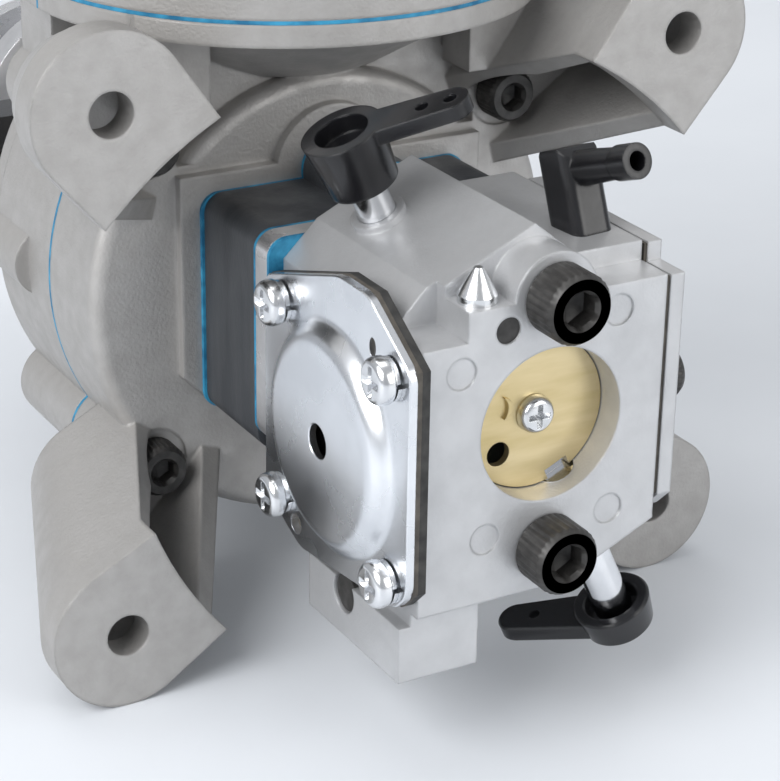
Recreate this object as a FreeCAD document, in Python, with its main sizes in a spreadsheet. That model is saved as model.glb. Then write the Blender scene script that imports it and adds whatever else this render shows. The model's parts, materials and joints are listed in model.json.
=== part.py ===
import FreeCAD, Part
import math
import os
import Sketcher

# Single-cylinder two-stroke petrol engine for model aircraft, millimetres.
# +Z runs up the cylinder, +Y forward to the propeller, +X to the right seen from the rear.
# The origin is the middle of the four firewall holes, in the plane of the mounting pads,
# on the axis of the crankshaft. The carburettor reaches back from there.

Vector = FreeCAD.Vector
Rotation = FreeCAD.Rotation
document = FreeCAD.newDocument("engine")
sheet = document.addObject("Spreadsheet::Sheet", "Sizes")
nodes = []

# Turns that lay the +Z axis of a round piece along another direction.
UPRIGHT = Rotation()
FORWARD = Rotation(Vector(1, 0, 0), -90)
REARWARD = Rotation(Vector(1, 0, 0), 90)
RIGHT = Rotation(Vector(0, 1, 0), 90)
LEFT = Rotation(Vector(0, 1, 0), -90)
DOWN = Rotation(Vector(1, 0, 0), 180)


class Size:
    """A number with the sheet formula that gives it."""

    def __init__(self, value, formula):
        self.value = float(value)
        self.formula = formula

    def __float__(self):
        return self.value

    def join(self, other, sign, value):
        return Size(value, "(%s %s %s)" % (self.formula, sign, sized(other).formula))

    def __add__(self, other):
        return self.join(other, "+", self.value + float(other))

    def __radd__(self, other):
        return sized(other) + self

    def __sub__(self, other):
        return self.join(other, "-", self.value - float(other))

    def __rsub__(self, other):
        return sized(other) - self

    def __mul__(self, other):
        return self.join(other, "*", self.value * float(other))

    def __rmul__(self, other):
        return sized(other) * self

    def __truediv__(self, other):
        return self.join(other, "/", self.value / float(other))

    def __neg__(self):
        return Size(-self.value, "(-1 * %s)" % self.formula)


def sized(value):
    """The value as a Size, so that plain numbers join in formulas."""
    if isinstance(value, Size):
        return value
    return Size(value, "%s" % float(value))


def size(alias, value, note):
    """Writes one driving size into the sheet."""
    row = size.rows = getattr(size, "rows", 0) + 1
    sheet.set("A%d" % row, alias)
    sheet.set("B%d" % row, str(value))
    sheet.set("C%d" % row, note)
    sheet.setAlias("B%d" % row, alias)
    return Size(value, "Sizes." + alias)


def cosine(angle):
    return Size(math.cos(math.radians(float(angle))), "cos(%s * 1 deg)" % sized(angle).formula)


def sine(angle):
    return Size(math.sin(math.radians(float(angle))), "sin(%s * 1 deg)" % sized(angle).formula)


# Firewall pads and legs
pad_hole_x = size("pad_hole_x", 39.0, "half the width between firewall holes")
pad_hole_z = size("pad_hole_z", 33.0, "half the height between firewall holes")
pad_hole_radius = size("pad_hole_radius", 2.75, "firewall hole")
pad_radius = size("pad_radius", 9.7, "round end of a pad")
pad_thickness = size("pad_thickness", 4.4, "pad plate")
leg_wall = size("leg_wall", 2.8, "wall of a hollow leg")
leg_root_radius = size("leg_root_radius", 8.6, "outer corner of a leg at the housing")
leg_taper = size("leg_taper", 0.79, "leg corner at the housing as a share of the hole position")
leg_front = size("leg_front", 30.0, "front end of the legs")
pad_side = size("pad_side", 9.5, "straight side of a pad")
leg_root_side = size("leg_root_side", 11.7, "inner or upper side of a leg at the housing")
leg_root_outer = size("leg_root_outer", 21.0, "lower side of a leg at the housing")
leg_root_swing = size("leg_root_swing", 18.0, "how far the lower side swings round at the housing")
pad_edge_radius = size("pad_edge_radius", 52.0, "hollow inner edge of a pad")
upper_side_first = size("upper_side_first", 229.4, "direction of the outer side of an upper pad")
upper_side_last = size("upper_side_last", 234.5, "direction of the inner side of an upper pad")
lower_side_first = size("lower_side_first", 145.5, "direction of the lower side of a lower pad")
lower_side_last = size("lower_side_last", 152.6, "direction of the upper side of a lower pad")

# Crankcase
case_radius = size("case_radius", 33.4, "outside of the crankcase")
case_wall = size("case_wall", 5.8, "wall of the crankcase")
wall_rear = size("wall_rear", 21.5, "rear face of the housing")
wall_inner = size("wall_inner", 28.0, "inner face of the rear wall")
joint_rear = size("joint_rear", 35.5, "joint between the case halves, in line with the cylinder")
case_depth = size("case_depth", 18.0, "depth of the front half of the case")
gasket_thickness = size("gasket_thickness", 0.5, "paper gasket")
case_fillet = size("case_fillet", 1.8, "rounded rear edge of the housing")
boss_rise = size("boss_rise", 3.0, "how far the round rear boss stands out above the neck")
boss_inset = size("boss_inset", 5.9, "step at the top of the rear face")
neck_inset = size("neck_inset", 3.9, "flared neck under the deck inside the case edge")
base_bolt_inset = size("base_bolt_inset", 9.8, "cylinder bolt inside the deck edge")
exhaust_inset = size("exhaust_inset", 0.4, "exhaust face inside the deck edge")
web_clearance = size("web_clearance", 1.2, "gap between the crank web and the case")
front_flange_inset = size("front_flange_inset", 1.9, "front housing flange inside the case edge")
case_bolt_angle = size("case_bolt_angle", 40.2, "direction of a case bolt from the crank axis")
case_bolt_boss = size("case_bolt_boss", 5.6, "column round a case bolt")
case_bolt_length = size("case_bolt_length", 28.0, "case bolt under its head")
case_bolt_seat = size("case_bolt_seat", 22.0, "seat of the case bolts")

# Neck, deck and cylinder seat
deck_top = size("deck_top", 39.0, "cylinder seat above the crank axis")
deck_thickness = size("deck_thickness", 2.8, "round deck plate")
neck_radius = size("neck_radius", 13.5, "flared neck where it leaves the case")
chimney_gap = size("chimney_gap", 0.1, "gap round the piston below the cylinder")
neck_bottom = size("neck_bottom", 27.0, "lowest part of the flared neck")
neck_wall = size("neck_wall", 3.2, "wall of the neck round the cylinder opening")
step_half_width = size("step_half_width", 21.5, "step at the top of the rear face")
step_bottom = size("step_bottom", 18.0, "lower end of the step at the top of the rear face")
lug_half_width = size("lug_half_width", 5.2, "block under a cylinder bolt")
lug_bottom = size("lug_bottom", 26.0, "lower end of a bolt block")
base_bolt_y = size("base_bolt_y", 12.6, "cylinder bolt from the cylinder axis")

# Bolts: five millimetre and four millimetre socket heads
m5_radius = size("m5_radius", 2.5, "five millimetre bolt")
m5_head_radius = size("m5_head_radius", 4.25, "its head")
m5_head_height = size("m5_head_height", 5.0, "its head")
m5_key = size("m5_key", 4.0, "its key size")
m4_radius = size("m4_radius", 2.0, "four millimetre bolt")
m4_head_radius = size("m4_head_radius", 3.5, "its head")
m4_head_height = size("m4_head_height", 4.0, "its head")
m4_key = size("m4_key", 3.0, "its key size")
hole_clearance = size("hole_clearance", 0.15, "gap between a bolt and its hole")

# Cylinder
bore_radius = size("bore_radius", 18.0, "cylinder bore")
stroke = size("stroke", 32.8, "piston travel")
liner_wall = size("liner_wall", 2.4, "wall of the cylinder below the deck")
skirt_length = size("skirt_length", 4.0, "cylinder skirt below the deck")
flange_thickness = size("flange_thickness", 4.0, "cylinder flange")
barrel_wall = size("barrel_wall", 4.5, "barrel wall between fins")
bore_top = size("bore_top", 98.4, "roof of the bore above the crank axis")
head_top = size("head_top", 110.0, "top of the head above the crank axis")
fin_thickness = size("fin_thickness", 1.7, "cooling fin")
fin_pitch = size("fin_pitch", 5.4, "distance between fins")
fin_first = size("fin_first", 52.0, "lowest fin")
fin_half_width = size("fin_half_width", 31.0, "half the width of the fins")
fin_half_depth = size("fin_half_depth", 31.0, "half the depth of the fins")
fin_corner = size("fin_corner", 11.0, "rounded corner of a fin")
exhaust_height = size("exhaust_height", 69.0, "exhaust port above the crank axis")
port_half_width = size("port_half_width", 9.0, "exhaust port")
port_half_height = size("port_half_height", 5.0, "exhaust port")
exhaust_bolt_spacing = size("exhaust_bolt_spacing", 29.0, "between the two exhaust screws")

# Piston and rod
piston_gap = size("piston_gap", 0.06, "gap between piston and bore")
pin_low = size("pin_low", 44.0, "wrist pin at bottom dead centre above the crank axis")
piston_crown = size("piston_crown", 20.0, "crown above the pin")
piston_skirt = size("piston_skirt", 10.6, "skirt below the pin")
piston_wall = size("piston_wall", 2.2, "piston wall")
wrist_pin_radius = size("wrist_pin_radius", 5.0, "wrist pin")
crank_pin_radius = size("crank_pin_radius", 5.5, "crank pin")
rod_depth = size("rod_depth", 8.0, "big end along the crank axis")
big_end_radius = size("big_end_radius", 8.8, "big end")
small_end_radius = size("small_end_radius", 7.6, "small end")
fit_gap = size("fit_gap", 0.03, "running gap of a shaft in its hole")

# Crankshaft and front end
web_gap = size("web_gap", 1.2, "gap between the rod and the crank web")
web_thickness = size("web_thickness", 9.0, "crank web")
main_shaft_radius = size("main_shaft_radius", 8.5, "shaft in the main bearing")
front_shaft_radius = size("front_shaft_radius", 6.0, "shaft in the front bearing")
main_bearing_radius = size("main_bearing_radius", 20.0, "main bearing outside")
main_bearing_width = size("main_bearing_width", 12.0, "main bearing")
front_bearing_radius = size("front_bearing_radius", 14.0, "front bearing outside")
front_bearing_width = size("front_bearing_width", 8.0, "front bearing")
nose_flange = size("nose_flange", 6.0, "flange of the front housing")
nose_length = size("nose_length", 36.0, "front housing ahead of its joint")
nose_base_radius = size("nose_base_radius", 27.0, "front housing cone at the flange")
nose_tip_radius = size("nose_tip_radius", 18.0, "front housing at the front bearing")
driver_radius = size("driver_radius", 17.5, "propeller driver")
driver_length = size("driver_length", 15.0, "propeller driver")
driver_gap = size("driver_gap", 0.6, "gap between driver and front bearing")
prop_thread_radius = size("prop_thread_radius", 5.0, "propeller thread")
prop_thread_length = size("prop_thread_length", 30.0, "thread ahead of the driver")
prop_space = size("prop_space", 16.5, "room for the hub of a propeller")
washer_radius = size("washer_radius", 13.0, "propeller washer")
washer_thickness = size("washer_thickness", 3.5, "propeller washer")
nut_key = size("nut_key", 17.0, "propeller nut across flats")
nut_height = size("nut_height", 8.0, "propeller nut")

# Intake stack behind the housing
intake_pad_y = size("intake_pad_y", 20.0, "machined intake face")
intake_pad_half = size("intake_pad_half", 21.7, "half width of the intake pad")
intake_pad_top = size("intake_pad_top", 16.9, "top of the intake pad")
intake_pad_bottom = size("intake_pad_bottom", 13.3, "bottom of the intake pad")
intake_pad_chamfer = size("intake_pad_chamfer", 3.3, "cut lower corner of the intake pad")
intake_lug_radius = size("intake_lug_radius", 8.2, "round of the pad at a screw")
block_half_width = size("block_half_width", 18.7, "half width of the insulator")
block_half_height = size("block_half_height", 14.6, "half height of the insulator")
block_lug = size("block_lug", 4.8, "round of the insulator at a screw")
block_corner = size("block_corner", 2.5, "corner of the insulator")
insulator_thickness = size("insulator_thickness", 14.5, "insulator block")
plate_thickness = size("plate_thickness", 3.0, "spacer plate")
carb_screw_z = size("carb_screw_z", 15.5, "carburettor screw from the bore axis")
intake_bore = size("intake_bore", 9.4, "intake bore")

# Carburettor
carb_length = size("carb_length", 33.0, "carburettor body along the bore")
carb_left = size("carb_left", 17.1, "left face from the bore axis")
carb_right = size("carb_right", 15.0, "right face from the bore axis")
carb_bottom = size("carb_bottom", 20.8, "lower face from the bore axis")
carb_shoulder = size("carb_shoulder", 15.6, "shoulder by the inlet face")
carb_top = size("carb_top", 18.0, "upper face")
carb_step = size("carb_step", 5.3, "shoulder along the bore")
screw_boss = size("screw_boss", 5.4, "round boss under the upper carburettor screw")
mark_radius = size("mark_radius", 1.9, "round mark in the inlet face")
mark_depth = size("mark_depth", 0.25, "round mark in the inlet face")
shaft_tilt = size("shaft_tilt", 25.0, "lean of both butterfly shafts")
facet_reach = size("facet_reach", 20.2, "facet square to the shafts, from the bore axis")
needle_boss_left = size("needle_boss_left", 18.6, "left face of the needle boss")
needle_boss_width = size("needle_boss_width", 10.6, "needle boss")
needle_boss_bottom = size("needle_boss_bottom", 29.6, "lower end of the needle boss")
needle_boss_setback = size("needle_boss_setback", 1.5, "needle boss behind the inlet face")
needle_boss_depth = size("needle_boss_depth", 22.0, "needle boss along the bore")
butterfly_radius = size("butterfly_radius", 2.35, "butterfly shaft")
throttle_setback = size("throttle_setback", 8.0, "throttle shaft behind the front flange")
choke_setback = size("choke_setback", 4.8, "choke shaft ahead of the inlet face")
butterfly_thickness = size("butterfly_thickness", 1.0, "butterfly plate")
butterfly_gap = size("butterfly_gap", 0.12, "gap round a butterfly plate")

# Covers of the carburettor
cover_y = size("cover_y", 16.6, "cover centre behind the pads")
cover_z = size("cover_z", 3.8, "cover centre below the bore axis")
cover_screw_y = size("cover_screw_y", 13.0, "cover screw from the cover centre")
cover_screw_z = size("cover_screw_z", 12.5, "cover screw from the cover centre")
cover_top = size("cover_top", 16.5, "upper edge of the cover above the bore axis")
cover_bottom = size("cover_bottom", 21.8, "lower edge of the cover below the bore axis")
cover_rear = size("cover_rear", 33.7, "rear edge of the cover behind the pads")
cover_flat = size("cover_flat", 6.6, "level part of the upper edge of the cover")
cover_cut_length = size("cover_cut_length", 9.7, "cut upper rear corner of the cover along the bore")
cover_cut_height = size("cover_cut_height", 5.9, "cut upper corners of the cover")
cover_low_cut = size("cover_low_cut", 2.6, "cut lower rear corner of the cover")
needle_boss_drop = size("needle_boss_drop", 0.7, "needle boss below the cover")
vent_radius = size("vent_radius", 2.1, "vent hole in the dome")
cover_sheet = size("cover_sheet", 1.0, "cover sheet metal")
edge_gap = size("edge_gap", 0.1, "cover edge behind the front flange")
dome_radius = size("dome_radius", 14.2, "dome of the cover")
dome_height = size("dome_height", 3.2, "dome of the cover")
diaphragm_thickness = size("diaphragm_thickness", 0.6, "diaphragm")
metering_gasket_thickness = size("metering_gasket_thickness", 1.0, "gasket under the diaphragm")
pump_plate = size("pump_plate", 1.9, "pump cover plate")
pump_rise = size("pump_rise", 3.4, "raised middle of the pump cover")
pump_half = size("pump_half", 15.2, "half the side of the pump cover")
front_bolt_inset = size("front_bolt_inset", 2.9, "front housing bolt inside the case edge")
front_ear_radius = size("front_ear_radius", 4.8, "round ear at a front housing bolt")
front_ear_depth = size("front_ear_depth", 11.0, "ears along the crankcase")
seal_radius = size("seal_radius", 13.0, "shaft seal outside")
shaft_blind = size("shaft_blind", 12.4, "far end of a butterfly shaft bore from the bore axis")
pump_bolt_radius = size("pump_bolt_radius", 2.0, "pump cover screw")
pump_corner = size("pump_corner", 2.5, "cut lower rear corner of the pump cover")
pump_gasket_thickness = size("pump_gasket_thickness", 0.5, "pump gasket")
pump_diaphragm_thickness = size("pump_diaphragm_thickness", 0.4, "pump diaphragm")
plug_radius = size("plug_radius", 5.0, "spark plug thread")
sensor_face = size("sensor_face", 24.6, "outer face of the ignition sensor from the crank axis")
sensor_depth = size("sensor_depth", 8.0, "ignition sensor along the crank axis")
sensor_half = size("sensor_half", 8.0, "half the height of the ignition sensor")
sensor_screw = size("sensor_screw", 9.0, "sensor screw under its head")
sensor_screw_z = size("sensor_screw_z", 5.5, "sensor screw from the middle")
pin_end_gap = size("pin_end_gap", 0.1, "gap between the crank pin and the web")
bearing_gap = size("bearing_gap", 1.5, "gap between crank web and main bearing")
reed_half_width = size("reed_half_width", 12.5, "reed cage")
reed_half_height = size("reed_half_height", 8.6, "reed cage")
reed_flange = size("reed_flange", 2.2, "flange of the reed cage")
reed_rise = size("reed_rise", 5.6, "slope of the reed cage")
reed_petal = size("reed_petal", 0.4, "reed petal")
needle_radius = size("needle_radius", 1.6, "mixture needle")
stud_radius = size("stud_radius", 2.3, "pointed stud")
stud_setback = size("stud_setback", 2.9, "pointed stud ahead of the inlet face")
elbow_x = size("elbow_x", 11.2, "fuel elbow from the bore axis")
elbow_setback = size("elbow_setback", 20.7, "fuel elbow behind the front flange")
elbow_side = size("elbow_side", 5.6, "rounded square column of the fuel elbow")
elbow_height = size("elbow_height", 9.4, "column of the fuel elbow")
elbow_plug = size("elbow_plug", 2.0, "plug of the fuel elbow in the body")
elbow_lean = size("elbow_lean", 20.0, "lean of the column")
elbow_turn = size("elbow_turn", 6.0, "turn of the spout away from straight back")
nipple_radius = size("nipple_radius", 2.1, "collar of the fuel spout")
nipple_length = size("nipple_length", 12.2, "fuel spout from the column axis")
nipple_collar = size("nipple_collar", 3.0, "collar of the fuel spout")
hub_bottom = size("hub_bottom", 25.4, "lower end of the throttle lever hub from the bore axis")
hub_height = size("hub_height", 7.3, "hub of a lever")
hub_radius = size("hub_radius", 4.25, "narrow end of a lever hub")
hub_rim = size("hub_rim", 4.95, "wide end of a lever hub")
cup_radius = size("cup_radius", 3.3, "cup in a lever hub")
cup_depth = size("cup_depth", 2.3, "cup in a lever hub")
throttle_arm = size("throttle_arm", 1.9, "arm of the throttle lever")
choke_arm = size("choke_arm", 2.5, "arm of the choke lever")
arm_length = size("arm_length", 13.2, "arm of a lever to its end centre")
arm_end_radius = size("arm_end_radius", 2.2, "end of an arm")
arm_root_radius = size("arm_root_radius", 2.6, "arm at its hub")
choke_hub_bottom = size("choke_hub_bottom", 28.0, "upper end of the choke lever hub")
cover_screw_radius = size("cover_screw_radius", 1.5, "cover screw")
cover_head_radius = size("cover_head_radius", 2.8, "cover screw head")
cover_head_height = size("cover_head_height", 1.9, "cover screw head")
spring_washer = size("spring_washer", 0.8, "spring washer")
pump_screw_head = size("pump_screw_head", 3.5, "head of the pump cover screw")
pump_screw_height = size("pump_screw_height", 4.9, "head of the pump cover screw")
pump_screw_z = size("pump_screw_z", 4.7, "pump cover screw below the bore axis")

# Planes and radii that follow from the sizes
cavity_radius = case_radius - case_wall
boss_radius = case_radius - boss_inset
deck_radius = case_radius
neck_top_radius = case_radius - neck_inset
case_bolt_reach = case_radius + 0.1
case_bolt_x = case_bolt_reach * cosine(case_bolt_angle)
case_bolt_z = case_bolt_reach * sine(case_bolt_angle)
base_bolt_x = deck_radius - base_bolt_inset
exhaust_reach = deck_radius - exhaust_inset
barrel_radius = bore_radius + barrel_wall
web_radius = cavity_radius - web_clearance
front_flange_radius = case_radius - front_flange_inset
front_bolt_reach = case_radius - front_bolt_inset
split_rear = joint_rear - gasket_thickness / 2
split_front = joint_rear + gasket_thickness / 2
case_front = split_front + case_depth
nose_rear = case_front + gasket_thickness
flange_bottom = deck_top + gasket_thickness
flange_top = flange_bottom + flange_thickness
deck_bottom = deck_top - deck_thickness
carb_front = intake_pad_y - insulator_thickness - plate_thickness - gasket_thickness * 3
carb_rear = carb_front - carb_length
throttle_y = carb_front - throttle_setback
choke_y = carb_rear + choke_setback
crank_pin_z = -stroke / 2
rod_rear = joint_rear - rod_depth / 2
rod_front = joint_rear + rod_depth / 2
web_rear = rod_front + web_gap
web_front = web_rear + web_thickness
main_bearing_rear = web_front + bearing_gap
seat_depth = nose_rear - main_bearing_rear
front_bearing_rear = nose_rear + nose_length - front_bearing_width - 2
driver_rear = nose_rear + nose_length + driver_gap

CORNERS = ((1, 1), (-1, 1), (-1, -1), (1, -1))


def bind(item, name, amount):
    """Sets one property and ties it to the sheet."""
    setattr(item, name, float(amount))
    item.setExpression(name, sized(amount).formula)


def place(item, x, y, z, turn=UPRIGHT):
    """Puts an object at a point, turned."""
    item.Placement = FreeCAD.Placement(Vector(float(x), float(y), float(z)), turn)
    for axis, amount in (("x", x), ("y", y), ("z", z)):
        if isinstance(amount, Size):
            item.setExpression("Placement.Base." + axis, amount.formula)
    return item


def node(label, item):
    """Makes an object one named sub-part."""
    item.Label = label
    nodes.append(item)
    return item


# Simple solids
def box(x_from, x_to, y_from, y_to, z_from, z_to):
    item = document.addObject("Part::Box", "Block")
    bind(item, "Length", sized(x_to) - x_from)
    bind(item, "Width", sized(y_to) - y_from)
    bind(item, "Height", sized(z_to) - z_from)
    return place(item, x_from, y_from, z_from)


def rod(radius, length, x, y, z, turn=FORWARD):
    item = document.addObject("Part::Cylinder", "Rod")
    bind(item, "Radius", radius)
    bind(item, "Height", length)
    return place(item, x, y, z, turn)


def taper(first_radius, last_radius, length, x, y, z, turn=FORWARD):
    item = document.addObject("Part::Cone", "Taper")
    bind(item, "Radius1", first_radius)
    bind(item, "Radius2", last_radius)
    bind(item, "Height", length)
    return place(item, x, y, z, turn)


def ball(radius, x, y, z):
    item = document.addObject("Part::Sphere", "Ball")
    bind(item, "Radius", radius)
    return place(item, x, y, z)


def hexagon(across, length, x, y, z, turn=FORWARD):
    item = document.addObject("Part::Prism", "Hexagon")
    item.Polygon = 6
    bind(item, "Circumradius", across / math.sqrt(3))
    bind(item, "Height", length)
    return place(item, x, y, z, turn)


# Joined solids
def fuse(*items):
    item = document.addObject("Part::MultiFuse", "Union")
    item.Shapes = list(items)
    item.Refine = True
    return item


def cut(base, *tools):
    item = document.addObject("Part::Cut", "Cut")
    item.Base = base
    item.Tool = tools[0] if len(tools) == 1 else fuse(*tools)
    item.Refine = True
    return item


def common(first, second):
    item = document.addObject("Part::Common", "Common")
    item.Base = first
    item.Tool = second
    item.Refine = True
    return item


def group(*items):
    item = document.addObject("Part::Compound", "Group")
    item.Links = list(items)
    return item


def mirrored(item, normal=Vector(1, 0, 0)):
    copy = document.addObject("Part::Mirroring", "Mirrored")
    copy.Source = item
    copy.Base = Vector(0, 0, 0)
    copy.Normal = normal
    return copy


# Outlines: corners with the coordinates tied to the sheet, and arcs between some of them
def draw(sketch, points, rounds=None, circles=()):
    """Closed outline. rounds gives (centre u, centre v, radius) for the side after a corner."""
    rounds = rounds or {}
    corners = [Vector(float(u), float(v), 0) for u, v in points]
    ends = []
    for number, start in enumerate(corners):
        finish = corners[(number + 1) % len(corners)]
        if number in rounds:
            centre = Vector(float(rounds[number][0]), float(rounds[number][1]), 0)
            radius = rounds[number][2]
            backward = float(radius) < 0
            first, last = (finish, start) if backward else (start, finish)
            angles = [math.atan2(end.y - centre.y, end.x - centre.x) for end in (first, last)]
            if angles[1] < angles[0]:
                angles[1] += 2 * math.pi
            circle = Part.Circle(centre, Vector(0, 0, 1), abs(float(radius)))
            edge = sketch.addGeometry(Part.ArcOfCircle(circle, angles[0], angles[1]), False)
            length = sized(-radius if backward else radius)
            rule = sketch.addConstraint(Sketcher.Constraint("Radius", edge, float(length)))
            sketch.setExpression("Constraints[%d]" % rule, length.formula)
            ends.append((edge, 2, 1) if backward else (edge, 1, 2))
        else:
            edge = sketch.addGeometry(Part.LineSegment(start, finish), False)
            ends.append((edge, 1, 2))
    for number, (edge, first, last) in enumerate(ends):
        following = ends[(number + 1) % len(ends)]
        sketch.addConstraint(Sketcher.Constraint("Coincident", edge, last, following[0], following[1]))
        tie(sketch, edge, first, points[number])
    for u, v, radius in circles:
        circle = Part.Circle(Vector(float(u), float(v), 0), Vector(0, 0, 1), float(radius))
        edge = sketch.addGeometry(circle, False)
        rule = sketch.addConstraint(Sketcher.Constraint("Radius", edge, float(radius)))
        sketch.setExpression("Constraints[%d]" % rule, sized(radius).formula)
        tie(sketch, edge, 3, (u, v))


def tie(sketch, edge, end, point):
    """Fixes a point of an outline at its two coordinates."""
    for kind, amount in (("DistanceX", point[0]), ("DistanceY", point[1])):
        rule = sketch.addConstraint(Sketcher.Constraint(kind, -1, 1, edge, end, float(amount)))
        sketch.setExpression("Constraints[%d]" % rule, sized(amount).formula)


def slab(points, start, finish, along="y", rounds=None, circles=()):
    """A prism between two planes: along y its outline is in x and z, along z in x and y."""
    sketch = document.addObject("Sketcher::SketchObject", "Outline")
    draw(sketch, points, rounds, circles)
    if along == "y":
        place(sketch, 0, finish, 0, REARWARD)
    elif along == "z":
        place(sketch, 0, 0, start)
    else:
        place(sketch, start, 0, 0, Rotation(Vector(1, 1, 1), 120))
    item = document.addObject("Part::Extrusion", "Slab")
    item.Base = sketch
    item.DirMode = "Normal"
    item.Solid = True
    bind(item, "LengthFwd", sized(finish) - start)
    return item


def body_with_outline(plane, points, rounds, circles):
    body = document.addObject("PartDesign::Body", "Body")
    sketch = body.newObject("Sketcher::SketchObject", "Outline")
    support = [item for item in body.Origin.OriginFeatures if item.Role == plane][0]
    sketch.AttachmentSupport = [(support, "")]
    sketch.MapMode = "FlatFace"
    draw(sketch, points, rounds, circles)
    return body, sketch


def turned(points, x, y, z, turn=FORWARD, rounds=None):
    """A body turned about its own axis. points are (radius, height along the axis)."""
    body, sketch = body_with_outline("XZ_Plane", points, rounds, ())
    feature = body.newObject("PartDesign::Revolution", "Turn")
    feature.Profile = sketch
    feature.ReferenceAxis = (sketch, ["V_Axis"])
    feature.Angle = 360
    return place(body, x, y, z, turn)


def plate(points, thickness, x, y, z, turn=REARWARD, rounds=None, circles=()):
    """A flat body with an outline."""
    body, sketch = body_with_outline("XY_Plane", points, rounds, circles)
    feature = body.newObject("PartDesign::Pad", "Pad")
    feature.Profile = sketch
    bind(feature, "Length", thickness)
    return place(body, x, y, z, turn)


def rounded(half_u, half_v, radius, middle=(0, 0)):
    """Corners and arcs of a rounded rectangle."""
    points = []
    rounds = {}
    for u_sign, v_sign in ((1, -1), (1, 1), (-1, 1), (-1, -1)):
        centre_u = half_u * u_sign - radius * u_sign + middle[0]
        centre_v = half_v * v_sign - radius * v_sign + middle[1]
        side = (centre_u + radius * u_sign, centre_v)
        end = (centre_u, centre_v + radius * v_sign)
        first, last = (side, end) if u_sign == v_sign else (end, side)
        rounds[len(points)] = (centre_u, centre_v, radius)
        points += [first, last]
    return points, rounds


def link_outline(first_radius, last_radius, length):
    """Corners and arcs of a bar with two round ends of different size."""
    lean = Size((float(first_radius) - float(last_radius)) / float(length),
                "((%s - %s) / %s)" % (sized(first_radius).formula, sized(last_radius).formula,
                                      sized(length).formula))
    rise = Size(math.sqrt(1 - float(lean) ** 2), "sqrt(1 - %s ^ 2)" % lean.formula)
    points = [(lean * first_radius, -(rise * first_radius)),
              (lean * last_radius + length, -(rise * last_radius)),
              (lean * last_radius + length, rise * last_radius),
              (lean * first_radius, rise * first_radius)]
    return points, {1: (length, 0, sized(last_radius)), 3: (0, 0, sized(first_radius))}


# Fasteners
def socket_screw(radius, head_radius, head_height, key, length, x, y, z, turn):
    """A screw with a hexagon socket. The point is under the head, the direction toward the tip."""
    shank = rod(radius, length, 0, 0, 0, UPRIGHT)
    head = rod(head_radius, head_height, 0, 0, -head_height, UPRIGHT)
    socket = hexagon(key, head_height * 0.55, 0, 0, -head_height, UPRIGHT)
    return place(cut(fuse(shank, head), socket), x, y, z, turn)


def m5_screw(length, x, y, z, turn):
    return socket_screw(m5_radius, m5_head_radius, m5_head_height, m5_key, length, x, y, z, turn)


def m4_screw(length, x, y, z, turn):
    return socket_screw(m4_radius, m4_head_radius, m4_head_height, m4_key, length, x, y, z, turn)


# Crankcase castings
def leg_outline(centre_x, centre_z, radius, sides, first_angle, last_angle, edge_radius):
    """Outline of a pad or leg: a round end, two straight sides and a hollow inner edge."""
    points = []
    for angle, swing in ((first_angle, 90), (last_angle, -90)):
        touch = (centre_x + radius * cosine(angle + swing), centre_z + radius * sine(angle + swing))
        points.append(touch)
    rounds = {0: (centre_x, centre_z, radius)}
    inner = []
    for angle, touch, side in ((last_angle, points[1], sides[1]), (first_angle, points[0], sides[0])):
        inner.append((touch[0] + side * cosine(angle), touch[1] + side * sine(angle)))
    points += inner
    across = math.hypot(float(inner[1][0] - inner[0][0]), float(inner[1][1] - inner[0][1]))
    depth = math.sqrt(float(edge_radius) ** 2 - across ** 2 / 4)
    middle = [(float(inner[0][part]) + float(inner[1][part])) / 2 for part in (0, 1)]
    normal = ((float(inner[1][1] - inner[0][1])) / across, -(float(inner[1][0] - inner[0][0])) / across)
    toward = -1 if normal[0] * middle[0] + normal[1] * middle[1] > 0 else 1
    rounds[2] = (middle[0] + normal[0] * depth * toward, middle[1] + normal[1] * depth * toward, -edge_radius)
    return points, rounds


def leg_section(y, centre_share, radius, sides, angles, upper):
    """One section of a leg, as an outline in a plane across the crank axis."""
    sketch = document.addObject("Sketcher::SketchObject", "Section")
    centre_z = pad_hole_z * centre_share * upper
    points, rounds = leg_outline(pad_hole_x * centre_share, centre_z, radius, sides,
                                 angles[0], angles[1], pad_edge_radius)
    draw(sketch, points, rounds)
    return place(sketch, 0, y, 0, REARWARD)


def loft(*sections):
    item = document.addObject("Part::Loft", "Loft")
    item.Sections = list(sections)
    item.Solid = True
    item.Ruled = True
    return item


def leg(upper):
    """A hollow leg on the right side with its pad, open toward the crank axis."""
    angles = (upper_side_first, upper_side_last) if upper > 0 else (lower_side_first, lower_side_last)
    root_angles = (angles[0] - leg_root_swing, angles[1])
    share = sized(1.0)
    points, rounds = leg_outline(pad_hole_x, pad_hole_z * upper, pad_radius, (pad_side, pad_side),
                                 angles[0], angles[1], pad_edge_radius)
    pad = slab(points, 0, pad_thickness, "y", rounds)
    wall = loft(leg_section(pad_thickness, share, pad_radius, (pad_side, pad_side), angles, upper),
                leg_section(leg_front, leg_taper, leg_root_radius, (leg_root_outer, leg_root_side),
                            root_angles, upper))
    more = leg_wall
    inside = loft(leg_section(pad_thickness, share, pad_radius - leg_wall, (pad_side + more, pad_side + more),
                              angles, upper),
                  leg_section(leg_front, leg_taper, leg_root_radius - leg_wall,
                              (leg_root_outer + more, leg_root_side + more), root_angles, upper))
    wide = pad_hole_x * 2
    hollow = common(inside, box(-wide, wide, 0, case_bolt_seat, -wide, wide))
    return fuse(pad, cut(wall, hollow))


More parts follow.
